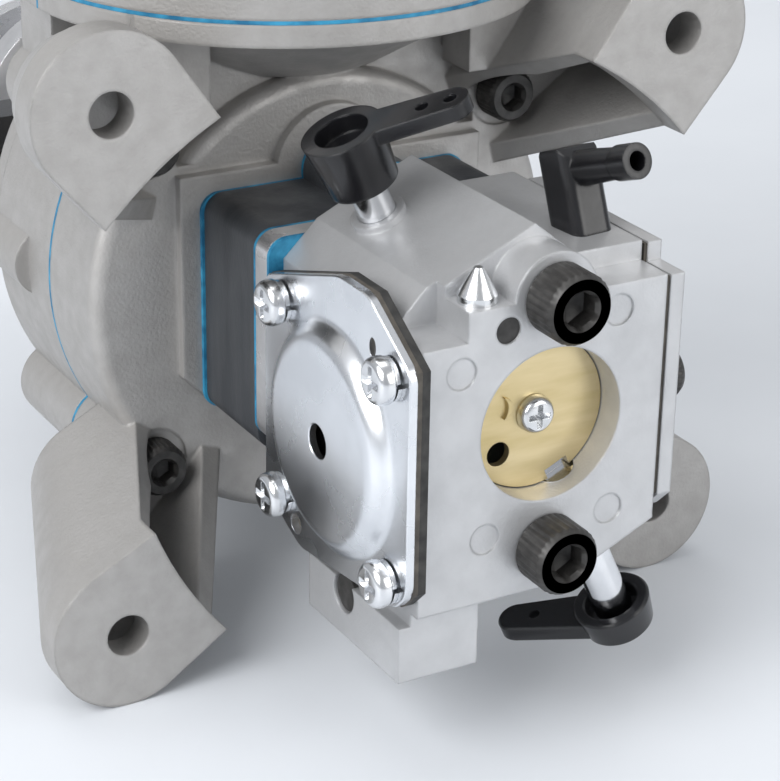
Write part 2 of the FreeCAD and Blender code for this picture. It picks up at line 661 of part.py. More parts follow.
def leg_holes():
    """Firewall holes and the way in for the case bolts."""
    holes = []
    for x_sign, z_sign in CORNERS:
        holes.append(rod(pad_hole_radius, pad_thickness * 2, pad_hole_x * x_sign, -pad_thickness / 2,
                         pad_hole_z * z_sign))
        holes.append(rod(m4_head_radius + 1.2, case_bolt_seat, case_bolt_x * x_sign, 0,
                         case_bolt_z * z_sign))
    return holes


def case_blank():
    """Both halves of the crankcase in one piece, before they are parted at the joint."""
    right_legs = fuse(leg(1), leg(-1))
    drum = turned([(0, 0), (case_radius - case_fillet, 0), (case_radius, case_fillet),
                   (case_radius, case_front - wall_rear), (0, case_front - wall_rear)],
                  0, wall_rear, 0, FORWARD, {1: (case_radius - case_fillet, case_fillet, case_fillet)})
    step = box(-step_half_width, step_half_width, wall_rear - 1, wall_rear + boss_rise, step_bottom, case_radius + 1)
    boss = turned([(0, 0), (boss_radius - case_fillet, 0), (boss_radius, case_fillet),
                   (boss_radius, boss_rise * 2), (0, boss_rise * 2)], 0, wall_rear, 0, FORWARD,
                  {1: (boss_radius - case_fillet, case_fillet, case_fillet)})
    neck = taper(neck_radius, neck_top_radius, deck_bottom - neck_bottom, 0, joint_rear, neck_bottom, UPRIGHT)
    deck = rod(deck_radius, deck_thickness, 0, joint_rear, deck_bottom, UPRIGHT)
    wall_top = common(rod(bore_radius + neck_wall, deck_bottom - step_bottom, 0, joint_rear, step_bottom, UPRIGHT),
                      box(-case_radius, case_radius, wall_rear + boss_rise, case_front, 0, deck_bottom))
    pieces = [right_legs, mirrored(right_legs), cut(drum, step), boss, wall_top, neck, deck]
    for x_sign, z_sign in CORNERS:
        column_rear = wall_rear + boss_rise
        pieces.append(rod(case_bolt_boss, case_front - column_rear, case_bolt_x * x_sign, column_rear,
                          case_bolt_z * z_sign))
        lug_x = base_bolt_x * x_sign
        lug_y = joint_rear + base_bolt_y * z_sign
        pieces.append(box(lug_x - lug_half_width, lug_x + lug_half_width, lug_y - lug_half_width,
                          lug_y + lug_half_width, lug_bottom, deck_top))
    pieces += front_ears(case_front - front_ear_depth, front_ear_depth)
    pieces += intake_pad()
    return fuse(*pieces)


def front_ears(start, length):
    """Round ears for the six front housing bolts."""
    ears = []
    for angle in (0, 65, 115, 180, 245, 295):
        ears.append(rod(front_ear_radius, length, front_bolt_reach * cosine(angle), start,
                        front_bolt_reach * sine(angle)))
    return ears


def front_holes(radius, start, length):
    holes = []
    for angle in (0, 65, 115, 180, 245, 295):
        holes.append(rod(radius, length, front_bolt_reach * cosine(angle), start,
                         front_bolt_reach * sine(angle)))
    return holes


def intake_pad():
    """Machined pad with round lugs that the intake stack sits on."""
    chamfer = intake_pad_chamfer
    low = intake_pad_bottom
    points = [(intake_pad_half - chamfer, -low), (intake_pad_half, chamfer - low),
              (intake_pad_half, intake_pad_top), (-intake_pad_half, intake_pad_top),
              (-intake_pad_half, chamfer - low), (chamfer - intake_pad_half, -low)]
    depth = wall_inner - intake_pad_y
    pieces = [slab(points, intake_pad_y, wall_inner, "y")]
    for sign in (1, -1):
        pieces.append(rod(intake_lug_radius, depth, 0, intake_pad_y, carb_screw_z * sign))
    return pieces


def case_hollow():
    """Everything that is hollow in the crankcase."""
    cavity = rod(cavity_radius, case_front - wall_inner + 1, 0, wall_inner, 0)
    shaft_way = rod(bore_radius + chimney_gap, deck_top, 0, joint_rear, 0, UPRIGHT)
    crank_space = box(-bore_radius * 2, bore_radius * 2, wall_inner, case_front, 0, deck_top)
    chimney = common(shaft_way, crank_space)
    floor = deck_top + gasket_thickness - skirt_length - chimney_gap
    throat = rod(bore_radius + chimney_gap, deck_top, 0, joint_rear,
                 deck_bottom - deck_thickness, UPRIGHT)
    seat = rod(bore_radius + liner_wall + chimney_gap, deck_top, 0, joint_rear, floor, UPRIGHT)
    overhang = box(-deck_radius, deck_radius, case_front, case_front + deck_radius, 0, floor - 2.2)
    reed_pocket = box(-reed_half_width - 3, reed_half_width + 3, intake_pad_y, intake_pad_y + reed_flange,
                      -reed_half_height - 2.6, reed_half_height + 2.6)
    reed_way = box(-reed_half_width - fit_gap, reed_half_width + fit_gap, intake_pad_y, wall_inner + 1,
                   -reed_half_height - 0.4, reed_half_height + 0.4)
    pieces = [cavity, chimney, throat, seat, overhang, reed_pocket, reed_way]
    pieces += leg_holes()
    for x_sign, z_sign in CORNERS:
        x = case_bolt_x * x_sign
        z = case_bolt_z * z_sign
        pieces.append(rod(m4_radius + hole_clearance, split_front - case_bolt_seat, x, case_bolt_seat, z))
        pieces.append(rod(m4_radius, case_bolt_length + 1, x, case_bolt_seat, z))
        pieces.append(rod(m5_radius, deck_top - lug_bottom, base_bolt_x * x_sign,
                          joint_rear + base_bolt_y * z_sign, lug_bottom + 2, UPRIGHT))
    for sign in (1, -1):
        pieces.append(rod(m5_radius, carb_screw_length() - carb_stack_length() + 0.6, 0, intake_pad_y,
                          carb_screw_z * sign))
    pieces += front_holes(m4_radius, case_front - front_ear_depth + 0.5, front_ear_depth)
    return fuse(*pieces)


def carb_stack_length():
    return intake_pad_y - carb_rear


def carb_screw_length():
    return carb_stack_length() + 7.2


def crankcase():
    """The two case halves and the gasket between them share one outline."""
    whole = cut(case_blank(), case_hollow())
    wide = deck_radius * 3
    node("rear_housing", common(whole, box(-wide, wide, -wide, split_rear, -wide, wide)))
    node("crankcase", common(whole, box(-wide, wide, split_front, split_front + wide, -wide, wide)))
    node("crankcase_gasket", common(whole, box(-wide, wide, split_rear, split_front, -wide, wide)))
    bolts = []
    for x_sign, z_sign in CORNERS:
        bolts.append(m4_screw(case_bolt_length, case_bolt_x * x_sign, case_bolt_seat,
                              case_bolt_z * z_sign, FORWARD))
    node("case_bolts", group(*bolts))


def cylinder():
    """Cylinder and head in one piece, its gasket and its four bolts."""
    seat_radius = bore_radius + liner_wall
    gasket = cut(rod(deck_radius, gasket_thickness, 0, joint_rear, deck_top, UPRIGHT),
                 rod(seat_radius + chimney_gap, gasket_thickness, 0, joint_rear, deck_top, UPRIGHT),
                 *base_holes(m5_radius + hole_clearance, deck_top, gasket_thickness))
    node("cylinder_gasket", gasket)
    skirt_bottom = flange_bottom - skirt_length
    liner = turned([(0, 0), (seat_radius, 0), (seat_radius, skirt_length), (deck_radius, skirt_length),
                    (deck_radius, skirt_length + flange_thickness),
                    (barrel_radius, skirt_length + flange_thickness),
                    (barrel_radius, head_top - skirt_bottom), (0, head_top - skirt_bottom)],
                   0, joint_rear, skirt_bottom, UPRIGHT)
    points, rounds = rounded(fin_half_width, fin_half_depth, fin_corner, (0, joint_rear))
    envelope = slab(points, fin_first, head_top, "z", rounds)
    layers = []
    for number in range(10):
        low = fin_first + fin_pitch * number
        layers.append(box(-fin_half_width, fin_half_width, joint_rear - fin_half_depth,
                          joint_rear + fin_half_depth, low, low + fin_thickness))
    top_low = fin_first + fin_pitch * 10
    layers.append(box(-fin_half_width, fin_half_width, joint_rear - fin_half_depth,
                      joint_rear + fin_half_depth, top_low, head_top))
    fins = common(envelope, fuse(*layers))
    port = box(0, exhaust_reach, joint_rear - port_half_width - 3, joint_rear + port_half_width + 3,
               exhaust_height - port_half_height - 3, exhaust_height + port_half_height + 3)
    half_plate = exhaust_bolt_spacing / 2 + 5
    face = box(exhaust_reach - 5, exhaust_reach, joint_rear - half_plate, joint_rear + half_plate,
               exhaust_height - port_half_height - 3, exhaust_height + port_half_height + 3)
    hollow = [rod(bore_radius, bore_top - skirt_bottom, 0, joint_rear, skirt_bottom, UPRIGHT),
              rod(plug_radius, head_top, 0, joint_rear, bore_top, UPRIGHT),
              box(0, exhaust_reach + 1, joint_rear - port_half_width, joint_rear + port_half_width,
                  exhaust_height - port_half_height, exhaust_height + port_half_height)]
    for sign in (1, -1):
        hollow.append(rod(m5_radius, 5, exhaust_reach - 5,
                          joint_rear + exhaust_bolt_spacing / 2 * sign, exhaust_height, RIGHT))
    hollow += base_holes(m5_radius + hole_clearance, flange_bottom, flange_thickness)
    hollow += base_holes(m5_head_radius + 0.4, flange_top, head_top)
    node("cylinder", cut(fuse(liner, fins, port, face), *hollow))
    bolts = []
    for x_sign, y_sign in CORNERS:
        bolts.append(m5_screw(14.0, base_bolt_x * x_sign, joint_rear + base_bolt_y * y_sign,
                              flange_top, DOWN))
    node("cylinder_bolts", group(*bolts))


def base_holes(radius, start, length):
    holes = []
    for x_sign, y_sign in CORNERS:
        holes.append(rod(radius, length, base_bolt_x * x_sign, joint_rear + base_bolt_y * y_sign,
                         start, UPRIGHT))
    return holes


def spark_plug():
    """Ten millimetre plug: steel shell with a hexagon, white insulator with its terminal."""
    reach = head_top - bore_top
    shell = turned([(2.6, 0), (plug_radius, 0), (plug_radius, reach), (7.2, reach), (7.2, reach + 2),
                    (5.4, reach + 2), (5.4, reach + 9.5), (2.6, reach + 9.5)], 0, joint_rear, bore_top, UPRIGHT)
    collar = hexagon(sized(14.0), 5.5, 0, joint_rear, head_top + 2, UPRIGHT)
    shell = cut(fuse(shell, collar), rod(2.6, head_top, 0, joint_rear, bore_top - 1, UPRIGHT))
    node("spark_plug_shell", shell)
    node("spark_plug_insulator",
         turned([(0, 1), (2.6, 1), (2.6, reach + 9.5), (4.4, reach + 9.5), (3.2, reach + 20),
                 (2.4, reach + 20), (2.4, reach + 24), (0, reach + 24)], 0, joint_rear, bore_top, UPRIGHT))


def front_housing():
    """Bearing housing ahead of the crankcase, its gasket and its bolts."""
    flange = nose_flange
    shape = [(main_bearing_radius, -seat_depth), (cavity_radius - chimney_gap, -seat_depth),
             (cavity_radius - chimney_gap, 0), (front_flange_radius, 0), (front_flange_radius, flange), (nose_base_radius, flange),
             (nose_tip_radius, nose_length), (front_bearing_radius, nose_length),
             (front_bearing_radius, nose_length - front_bearing_width - 2),
             (seal_radius, nose_length - front_bearing_width - 2),
             (seal_radius, main_bearing_width + 4.5 - seat_depth),
             (main_bearing_radius - 3, main_bearing_width + 4.5 - seat_depth),
             (main_bearing_radius - 3, main_bearing_width - seat_depth),
             (main_bearing_radius, main_bearing_width - seat_depth)]
    nose = turned(shape, 0, nose_rear, 0)
    ears = front_ears(nose_rear, nose_flange)
    holes = front_holes(m4_radius + hole_clearance, nose_rear, nose_flange)
    holes += front_holes(m4_head_radius + 0.3, nose_rear + nose_flange, nose_flange * 2)
    holes += sensor_screw_ways(sized(1.25))
    node("front_housing", cut(fuse(nose, *ears), *holes))
    ring = cut(fuse(rod(front_flange_radius, gasket_thickness, 0, case_front, 0), *front_ears(case_front, gasket_thickness)),
               rod(cavity_radius, gasket_thickness, 0, case_front, 0),
               *front_holes(m4_radius + hole_clearance, case_front, gasket_thickness))
    node("front_gasket", ring)
    bolts = []
    for angle in (0, 65, 115, 180, 245, 295):
        bolts.append(m4_screw(16.0, front_bolt_reach * cosine(angle), nose_rear + nose_flange,
                              front_bolt_reach * sine(angle), REARWARD))
    node("front_housing_bolts", group(*bolts))


def bearings():
    """Two ball bearings: outer races and balls stand still, inner races turn with the crank."""
    outer = []
    inner = []
    balls = []
    kinds = ((main_bearing_rear, main_bearing_width, main_bearing_radius, main_shaft_radius),
             (front_bearing_rear, front_bearing_width, front_bearing_radius, front_shaft_radius))
    for start, width, outside, inside in kinds:
        race = (outside - inside) / 4
        pitch = (outside + inside) / 2
        outer.append(turned([(outside - race, 0), (outside, 0), (outside, width), (outside - race, width)],
                            0, start, 0))
        inner.append(turned([(inside, 0), (inside + race, 0), (inside + race, width), (inside, width)],
                            0, start, 0))
        for number in range(7):
            angle = number * 360 / 7
            balls.append(ball(race - fit_gap, pitch * math.cos(math.radians(angle)), start + width / 2,
                              pitch * math.sin(math.radians(angle))))
    node("bearing_outer_races", group(*outer))
    node("bearing_inner_races", group(*inner))
    node("bearing_balls", group(*balls))
    seal_rear = nose_rear + main_bearing_width + 4.5 - seat_depth
    node("shaft_seal", turned([(main_shaft_radius - 1 + fit_gap, 0), (seal_radius, 0), (seal_radius, 5),
                               (main_shaft_radius - 1 + fit_gap, 5)], 0, seal_rear, 0))


def crankshaft():
    """Crank web with its counterweight, and the shaft that carries the propeller driver."""
    web = rod(web_radius, web_thickness, 0, web_rear, 0)
    pin_side = crank_pin_z - 8.5
    waist = [(-web_radius, web_radius), (-web_radius, 0), (-10, pin_side), (10, pin_side),
             (web_radius, 0), (web_radius, web_radius)]
    web = common(web, slab(waist, web_rear, web_front))
    start = web_front
    profile = [(0, 0), (11, 0), (11, main_bearing_rear - start),
               (main_shaft_radius, main_bearing_rear - start),
               (main_shaft_radius, main_bearing_rear + main_bearing_width - start),
               (main_shaft_radius - 1, main_bearing_rear + main_bearing_width - start),
               (main_shaft_radius - 1, front_bearing_rear - start),
               (front_shaft_radius, front_bearing_rear - start),
               (front_shaft_radius, driver_rear + driver_length - start - 4),
               (prop_thread_radius, driver_rear + driver_length - start - 4),
               (prop_thread_radius, driver_rear + driver_length + prop_thread_length - start - 1),
               (prop_thread_radius - 1, driver_rear + driver_length + prop_thread_length - start),
               (0, driver_rear + driver_length + prop_thread_length - start)]
    shaft = turned(profile, 0, start, 0)
    node("crankshaft", fuse(web, shaft))
    node("crankpin", rod(crank_pin_radius, rod_depth + web_gap - pin_end_gap, 0, rod_rear, crank_pin_z))
    hub = [(prop_thread_radius, driver_length - 4), (prop_thread_radius, driver_length),
           (driver_radius, driver_length), (driver_radius, driver_length - 5),
           (11.5, driver_length - 7), (11.5, 3), (front_shaft_radius + 1.9, 1.5),
           (front_shaft_radius + 1.9, front_bearing_rear + front_bearing_width - driver_rear),
           (front_shaft_radius, front_bearing_rear + front_bearing_width - driver_rear),
           (front_shaft_radius, driver_length - 4)]
    node("prop_driver", turned(hub, 0, driver_rear, 0))
    driver_front = driver_rear + driver_length
    washer_rear = driver_front + prop_space
    node("prop_washer", turned([(prop_thread_radius, 0), (washer_radius, 0),
                                (washer_radius, washer_thickness), (prop_thread_radius, washer_thickness)],
                               0, washer_rear, 0))
    nut = cut(hexagon(nut_key, nut_height, 0, washer_rear + washer_thickness, 0),
              rod(prop_thread_radius, nut_height, 0, washer_rear + washer_thickness, 0))
    node("prop_nut", nut)


def piston_and_rod():
    """Piston at bottom dead centre with its pin, rings and connecting rod."""
    radius = bore_radius - piston_gap
    inside = radius - piston_wall
    low = pin_low - piston_skirt
    height = piston_skirt + piston_crown
    cup = turned([(inside, 0), (radius, 0), (radius, height), (0, height), (0, height - 4), (inside, height - 4)],
                 0, joint_rear, low, UPRIGHT)
    bosses = common(rod(wrist_pin_radius + 3, radius * 2, 0, joint_rear - radius, pin_low),
                    rod(inside, height, 0, joint_rear, low, UPRIGHT))
    gap = box(-radius, radius, rod_rear - 1, rod_front + 1, low, pin_low + piston_crown - 4)
    grooves = []
    for drop in (2.5, 6.0):
        groove_low = pin_low + piston_crown - drop - 1.5
        ring = cut(rod(bore_radius, 1.5, 0, joint_rear, groove_low, UPRIGHT),
                   rod(radius - 1.5, 1.5, 0, joint_rear, groove_low, UPRIGHT))
        grooves.append(ring)
    pin_way = rod(wrist_pin_radius, radius * 2, 0, joint_rear - radius, pin_low)
    node("piston", cut(fuse(cup, cut(bosses, gap)), pin_way, *grooves))
    rings = []
    for drop in (2.5, 6.0):
        groove_low = pin_low + piston_crown - drop - 1.5
        ring = cut(rod(bore_radius - 0.02, 1.5, 0, joint_rear, groove_low, UPRIGHT),
                   rod(radius - 1.5, 1.5, 0, joint_rear, groove_low, UPRIGHT))
        rings.append(ring)
    node("piston_rings", group(*rings))
    pin_length = radius * 2 - 5
    pin = cut(rod(wrist_pin_radius, pin_length, 0, joint_rear - pin_length / 2, pin_low),
              rod(wrist_pin_radius - 2, pin_length, 0, joint_rear - pin_length / 2, pin_low))
    node("wrist_pin", pin)
    rod_length = pin_low - crank_pin_z
    beam = box(-3.5, 3.5, joint_rear - 3, joint_rear + 3, crank_pin_z, pin_low)
    eyes = fuse(rod(big_end_radius, rod_depth, 0, rod_rear, crank_pin_z),
                rod(small_end_radius, rod_depth, 0, rod_rear, pin_low), beam)
    panel = box(-2.2, 2.2, rod_rear, rod_rear + 2.4, crank_pin_z + big_end_radius + 2,
                crank_pin_z + rod_length - small_end_radius - 2)
    back_panel = box(-2.2, 2.2, rod_front - 2.4, rod_front, crank_pin_z + big_end_radius + 2,
                     crank_pin_z + rod_length - small_end_radius - 2)
    holes = [rod(crank_pin_radius, rod_depth, 0, rod_rear, crank_pin_z),
             rod(wrist_pin_radius + fit_gap, rod_depth, 0, rod_rear, pin_low)]
    node("connecting_rod", cut(eyes, panel, back_panel, *holes))


def reed_valve():
    """Wedge shaped reed cage in the intake port, with two petals."""
    flange_front = intake_pad_y + reed_flange
    nose = reed_half_height - reed_rise
    depth = wall_inner + 0.5 - flange_front
    cage = [(flange_front, -reed_half_height), (flange_front + depth, -nose), (flange_front + depth, nose),
            (flange_front, reed_half_height)]
    wedge = slab(cage, -reed_half_width, reed_half_width, "x")
    flange = box(-reed_half_width - 3, reed_half_width + 3, intake_pad_y, flange_front,
                 -reed_half_height - 2.6, reed_half_height + 2.6)
    hollow = [(intake_pad_y, -reed_half_height + 1.6), (flange_front, -reed_half_height + 1.6),
              (flange_front + depth - 1.5, -nose + 1.6), (flange_front + depth - 1.5, nose - 1.6),
              (flange_front, reed_half_height - 1.6), (intake_pad_y, reed_half_height - 1.6)]
    inside = slab(hollow, 1.5 - reed_half_width, reed_half_width - 1.5, "x")
    windows = []
    for sign in (1, -1):
        windows.append(box(6 * sign - 4.2, 6 * sign + 4.2, flange_front + 1.4, flange_front + depth - 1.6,
                           -reed_half_height, reed_half_height))
    node("reed_cage", cut(fuse(wedge, flange), inside, *windows))
    petals = []
    for side in (1, -1):
        edge = [(flange_front + 0.4, (reed_half_height - reed_rise / depth * 0.4) * side),
                (flange_front + depth, nose * side), (flange_front + depth, (nose + reed_petal) * side),
                (flange_front + 0.4, (reed_half_height - reed_rise / depth * 0.4 + reed_petal) * side)]
        for sign in (1, -1):
            petals.append(slab(edge, 6 * sign - sized(5.2), 6 * sign + sized(5.2), "x"))
    node("reed_petals", group(*petals))


def carb_screw_ways(start, length, radius):
    ways = []
    for sign in (1, -1):
        ways.append(rod(radius, length, 0, start, carb_screw_z * sign))
    return ways


def stack_plate(half_width, low, high, lug, start, finish, corner=block_corner):
    """One layer of the intake stack: rounded plate, two screw lugs, bore and screw holes."""
    middle = (high - low) / 2
    points, rounds = rounded(half_width, (high + low) / 2, corner, (0, middle))
    base = slab(points, start, finish, "y", rounds)
    depth = sized(finish) - start
    lugs = [rod(lug, depth, 0, start, carb_screw_z * sign) for sign in (1, -1)]
    return cut(fuse(base, *lugs), rod(intake_bore, depth, 0, start, 0),
               *carb_screw_ways(start, depth, m5_radius + hole_clearance))


def intake_stack():
    """Insulator, spacer plate and three gaskets between housing and carburettor."""
    gasket = gasket_thickness
    rear = intake_pad_y - gasket
    wide = block_half_width + 0.4
    node("intake_gasket", stack_plate(wide, block_half_height, block_half_height, block_lug,
                                      rear, intake_pad_y))
    front = rear - insulator_thickness
    node("insulator", stack_plate(block_half_width, block_half_height, block_half_height, block_lug,
                                  front, rear))
    node("insulator_gasket", stack_plate(wide, block_half_height - 2, block_half_height, block_lug,
                                         front - gasket, front))
    node("spacer_plate", stack_plate(wide, block_half_height - 2, block_half_height, block_lug,
                                     front - gasket - plate_thickness, front - gasket))
    node("carb_gasket", stack_plate(wide, block_half_height - 2, block_half_height, block_lug,
                                    carb_front, front - gasket - plate_thickness))


# Carburettor
def shaft_turn(down):
    """Turn that lays the +Z axis along the leaning butterfly shafts."""
    return Rotation(Vector(0, 1, 0), (180 if down else 0) - float(shaft_tilt))


def carb_outline():
    """Outline of the body across the bore, with two facets square to the leaning shafts."""
    lean = sine(shaft_tilt)
    rise = cosine(shaft_tilt)
    facet = []
    for along in (9.7, -4.5):
        facet.append((rise * along - lean * facet_reach, rise * facet_reach + lean * along))
    low_facet = []
    for along in (-6.1, 7.2):
        low_facet.append((rise * along + lean * facet_reach, lean * along - rise * facet_reach))
    return [(-carb_left, -carb_bottom), (low_facet[0][0], -carb_bottom), (low_facet[1][0], low_facet[1][1]),
            (carb_right, low_facet[1][1] + 0.6), (carb_right, carb_top), (facet[0][0] + 5.5, carb_top),
            facet[0], facet[1], (-carb_left, carb_shoulder - 3.6)]


def carb_body():
    core = slab(carb_outline(), carb_rear, carb_front)
    boss_rear = carb_rear + needle_boss_setback
    boss = fuse(box(-needle_boss_left, needle_boss_width - needle_boss_left, boss_rear,
                    boss_rear + needle_boss_depth, -needle_boss_bottom, -(cover_bottom + needle_boss_drop)),
                box(-carb_left, needle_boss_width - needle_boss_left, boss_rear,
                    boss_rear + needle_boss_depth, -needle_boss_bottom, -carb_bottom))
    seat = rod(stud_radius + 1.2, carb_shoulder, -8.6, carb_rear + stud_setback, 0, UPRIGHT)
    ring = rod(butterfly_radius + 1.0, facet_reach + 0.9, 0, throttle_y, 0, shaft_turn(False))
    upper_boss = rod(screw_boss, carb_step + 1, 0, carb_rear, carb_screw_z)
    blank = fuse(core, boss, upper_boss, common(seat, box(-carb_left, 0, carb_rear, carb_front, 0, carb_shoulder)), ring)
    bore = turned([(0, 0), (intake_bore, 0), (intake_bore, 10), (7.3, 14), (7.3, 18), (intake_bore, 22),
                   (intake_bore, carb_length), (0, carb_length)], 0, carb_rear, 0)
    notch = box(-carb_left - 1, -11.4, carb_rear - 1, carb_rear + 7, carb_shoulder - 3.6, facet_reach * 1.5)
    seat_boss = rod(screw_boss, carb_step + 1, 0, carb_rear, carb_screw_z)
    shelf = cut(box(-carb_left - 1, carb_right + 1, carb_rear - 1, carb_rear + carb_step, carb_shoulder,
                    facet_reach * 1.5), seat_boss)
    tools = [bore, notch, shelf]
    tools += carb_screw_ways(carb_rear, carb_length, m5_radius + hole_clearance)
    tools.append(rod(butterfly_radius + fit_gap, facet_reach * 2 + 4, sine(shaft_tilt) * shaft_blind,
                     throttle_y, -(cosine(shaft_tilt) * shaft_blind), shaft_turn(False)))
    tools.append(rod(butterfly_radius + fit_gap, facet_reach * 2 + 4, -(sine(shaft_tilt) * shaft_blind),
                     choke_y, cosine(shaft_tilt) * shaft_blind, shaft_turn(True)))
    tools.append(rod(needle_radius + fit_gap, 7, -needle_boss_left, needle_y(), needle_z(), RIGHT))
    tools.append(rod(needle_radius + 0.9, 2.6, -needle_boss_left, needle_y(), needle_z(), RIGHT))
    for y_sign, z_sign in CORNERS:
        tools.append(rod(cover_screw_radius, 6, -carb_left, cover_screw_y * y_sign - cover_y,
                         cover_screw_z * z_sign - cover_z, RIGHT))
    tools.append(rod(dome_radius - 2, 2.2, -carb_left, -cover_y, -cover_z, RIGHT))
    tools.append(rod(stud_radius - 0.6, 5, -8.6, carb_rear + stud_setback, carb_shoulder - 4.4, UPRIGHT))
    tools.append(rod(pump_bolt_radius, 5.0, carb_right - 5, pump_y(), -pump_screw_z, RIGHT))
    tools.append(rod(elbow_plug, 6, elbow_x, carb_front - elbow_setback, carb_top - 6, UPRIGHT))
    tools.append(rod(1.6, 1.2, -6.2, carb_rear, 12.6))
    for x, z in ((-12.1, 8.5), (-8.4, -12.7), (8.6, 12.4), (8.5, -12.6)):
        tools.append(rod(mark_radius, mark_depth, x, carb_rear, z))
    node("carb_body", cut(blank, *tools))
    screws = []
    for sign in (1, -1):
        screws.append(m5_screw(carb_screw_length(), 0, carb_rear, carb_screw_z * sign, FORWARD))
    node("carb_screws", group(*screws))
    node("ball_plug", rod(1.6, 0.9, -6.2, carb_rear + 0.3, 12.6))
    node("top_stud", turned([(0, -4), (stud_radius - 0.6, -4), (stud_radius - 0.6, 0), (stud_radius, 0),
                             (stud_radius, 0.9), (0.5, 4), (0, 4)], -8.6, carb_rear + stud_setback, carb_shoulder, UPRIGHT))


def needle_y():
    return carb_rear + needle_boss_setback + needle_boss_depth * 0.6


def needle_z():
    return -(carb_bottom + needle_boss_bottom) / 2 + 1.2


def pump_y():
    return carb_rear + pump_half + 0.5


def butterfly(label, y, down, bottom_gap, stem_top, plate_side, *openings):
    """A leaning shaft with a flat across the bore, its plate and its screw."""
    turn = shaft_turn(down)
    low = -shaft_blind + bottom_gap
    stem = rod(butterfly_radius, stem_top - low, 0, 0, low, UPRIGHT)
    flat_low = -(butterfly_radius * plate_side + butterfly_radius) / 2
    flat = box(-butterfly_radius, butterfly_radius, flat_low, flat_low + butterfly_radius,
               -intake_bore, intake_bore)
    screw_way = rod(0.9, butterfly_radius * 2, 0, -butterfly_radius, 0)
    node(label + "_shaft", place(cut(stem, flat, screw_way), 0, y, 0, turn))
    start = -butterfly_thickness if plate_side > 0 else sized(0)
    disc = rod(intake_bore - butterfly_gap, butterfly_thickness, 0, start, 0)
    plate_screw_way = rod(0.9, butterfly_radius * 2, 0, -butterfly_radius, 0)
    node(label + "_plate", place(cut(disc, plate_screw_way, *openings), 0, y, 0, turn))
    head_turn = FORWARD if plate_side > 0 else REARWARD
    face = -butterfly_thickness * plate_side
    screw = turned([(0, -1.3), (1.6, -1.0), (1.9, 0), (0.9, 0), (0.9, butterfly_radius), (0, butterfly_radius)],
                   0, face, 0, head_turn)
    node(label + "_plate_screw", place(group(screw), 0, y, 0, turn))


def lever_arm(angle, low, thickness):
    """Flat arm with two link holes and a round end."""
    points, rounds = link_outline(arm_root_radius, arm_end_radius, arm_length)
    holes = [(arm_length, 0, sized(0.8)), (arm_length - 3.4, 0, sized(0.8))]
    arm = plate(points, thickness, 0, 0, 0, UPRIGHT, rounds, holes)
    return place(arm, 0, 0, low, Rotation(Vector(0, 0, 1), angle))


def lever_hub(shape):
    """Hub of a lever turned about its shaft. shape gives the radii at the near and far end."""
    near, far = shape
    return turned([(0, 0), (near, 0), (far, hub_height), (0, hub_height)], 0, 0, 0, UPRIGHT)


def butterflies():
    """Both butterflies with their levers. A lever hub has its cup at the wide end."""
    blind = hub_height - cup_depth - 1.2
    butterfly("throttle", throttle_y, False, 0.3, hub_bottom + blind, -1)
    hub = place(lever_hub((hub_radius, hub_rim)), 0, 0, hub_bottom, UPRIGHT)
    arm = lever_arm(-35, hub_bottom + hub_height - throttle_arm, throttle_arm)
    cup = rod(cup_radius, cup_depth, 0, 0, hub_bottom + hub_height - cup_depth, UPRIGHT)
    way = rod(butterfly_radius, blind, 0, 0, hub_bottom, UPRIGHT)
    node("throttle_lever", place(cut(fuse(hub, arm), cup, way), 0, throttle_y, 0, shaft_turn(False)))
    tab_opening = rod(1.5, butterfly_thickness, 6.0, -butterfly_thickness, 2.0)
    notch = box(-1.6, 1.6, -butterfly_thickness, 0, 7.9, intake_bore)
    butterfly("choke", choke_y, True, 0.3, choke_hub_bottom + hub_height - 1, 1, tab_opening, notch)
    hub = place(lever_hub((hub_rim, hub_radius)), 0, 0, choke_hub_bottom, UPRIGHT)
    arm = lever_arm(47, choke_hub_bottom + 1.2, choke_arm)
    cup = rod(cup_radius, cup_depth, 0, 0, choke_hub_bottom, UPRIGHT)
    way = rod(butterfly_radius, hub_height - 1, 0, 0, choke_hub_bottom, UPRIGHT)
    node("choke_lever", place(cut(fuse(hub, arm), cup, way), 0, choke_y, 0, shaft_turn(True)))


def cover_plate(thickness, x):
    """Plate of the metering side with cut corners. x is its inner face."""
    front = carb_front - edge_gap
    rear = -cover_rear
    upper = cover_top - cover_cut_height
    flat_rear = rear + cover_cut_length
    points = [(front, upper), (flat_rear + cover_flat, cover_top), (flat_rear, cover_top), (rear, upper),
              (rear, cover_low_cut * 2 - cover_bottom), (rear + cover_low_cut, cover_low_cut - cover_bottom),
              (front - cover_low_cut * 3.5, -cover_bottom),
              (front - cover_low_cut * 2, cover_low_cut * 0.6 - cover_bottom),
              (front, cover_low_cut * 1.7 - cover_bottom)]
    holes = []
    for y_sign, z_sign in CORNERS:
        holes.append(rod(cover_screw_radius + hole_clearance, thickness, x - thickness,
                         cover_screw_y * y_sign - cover_y, cover_screw_z * z_sign - cover_z, RIGHT))
    return cut(slab(points, x - thickness, x, "x"), *holes)


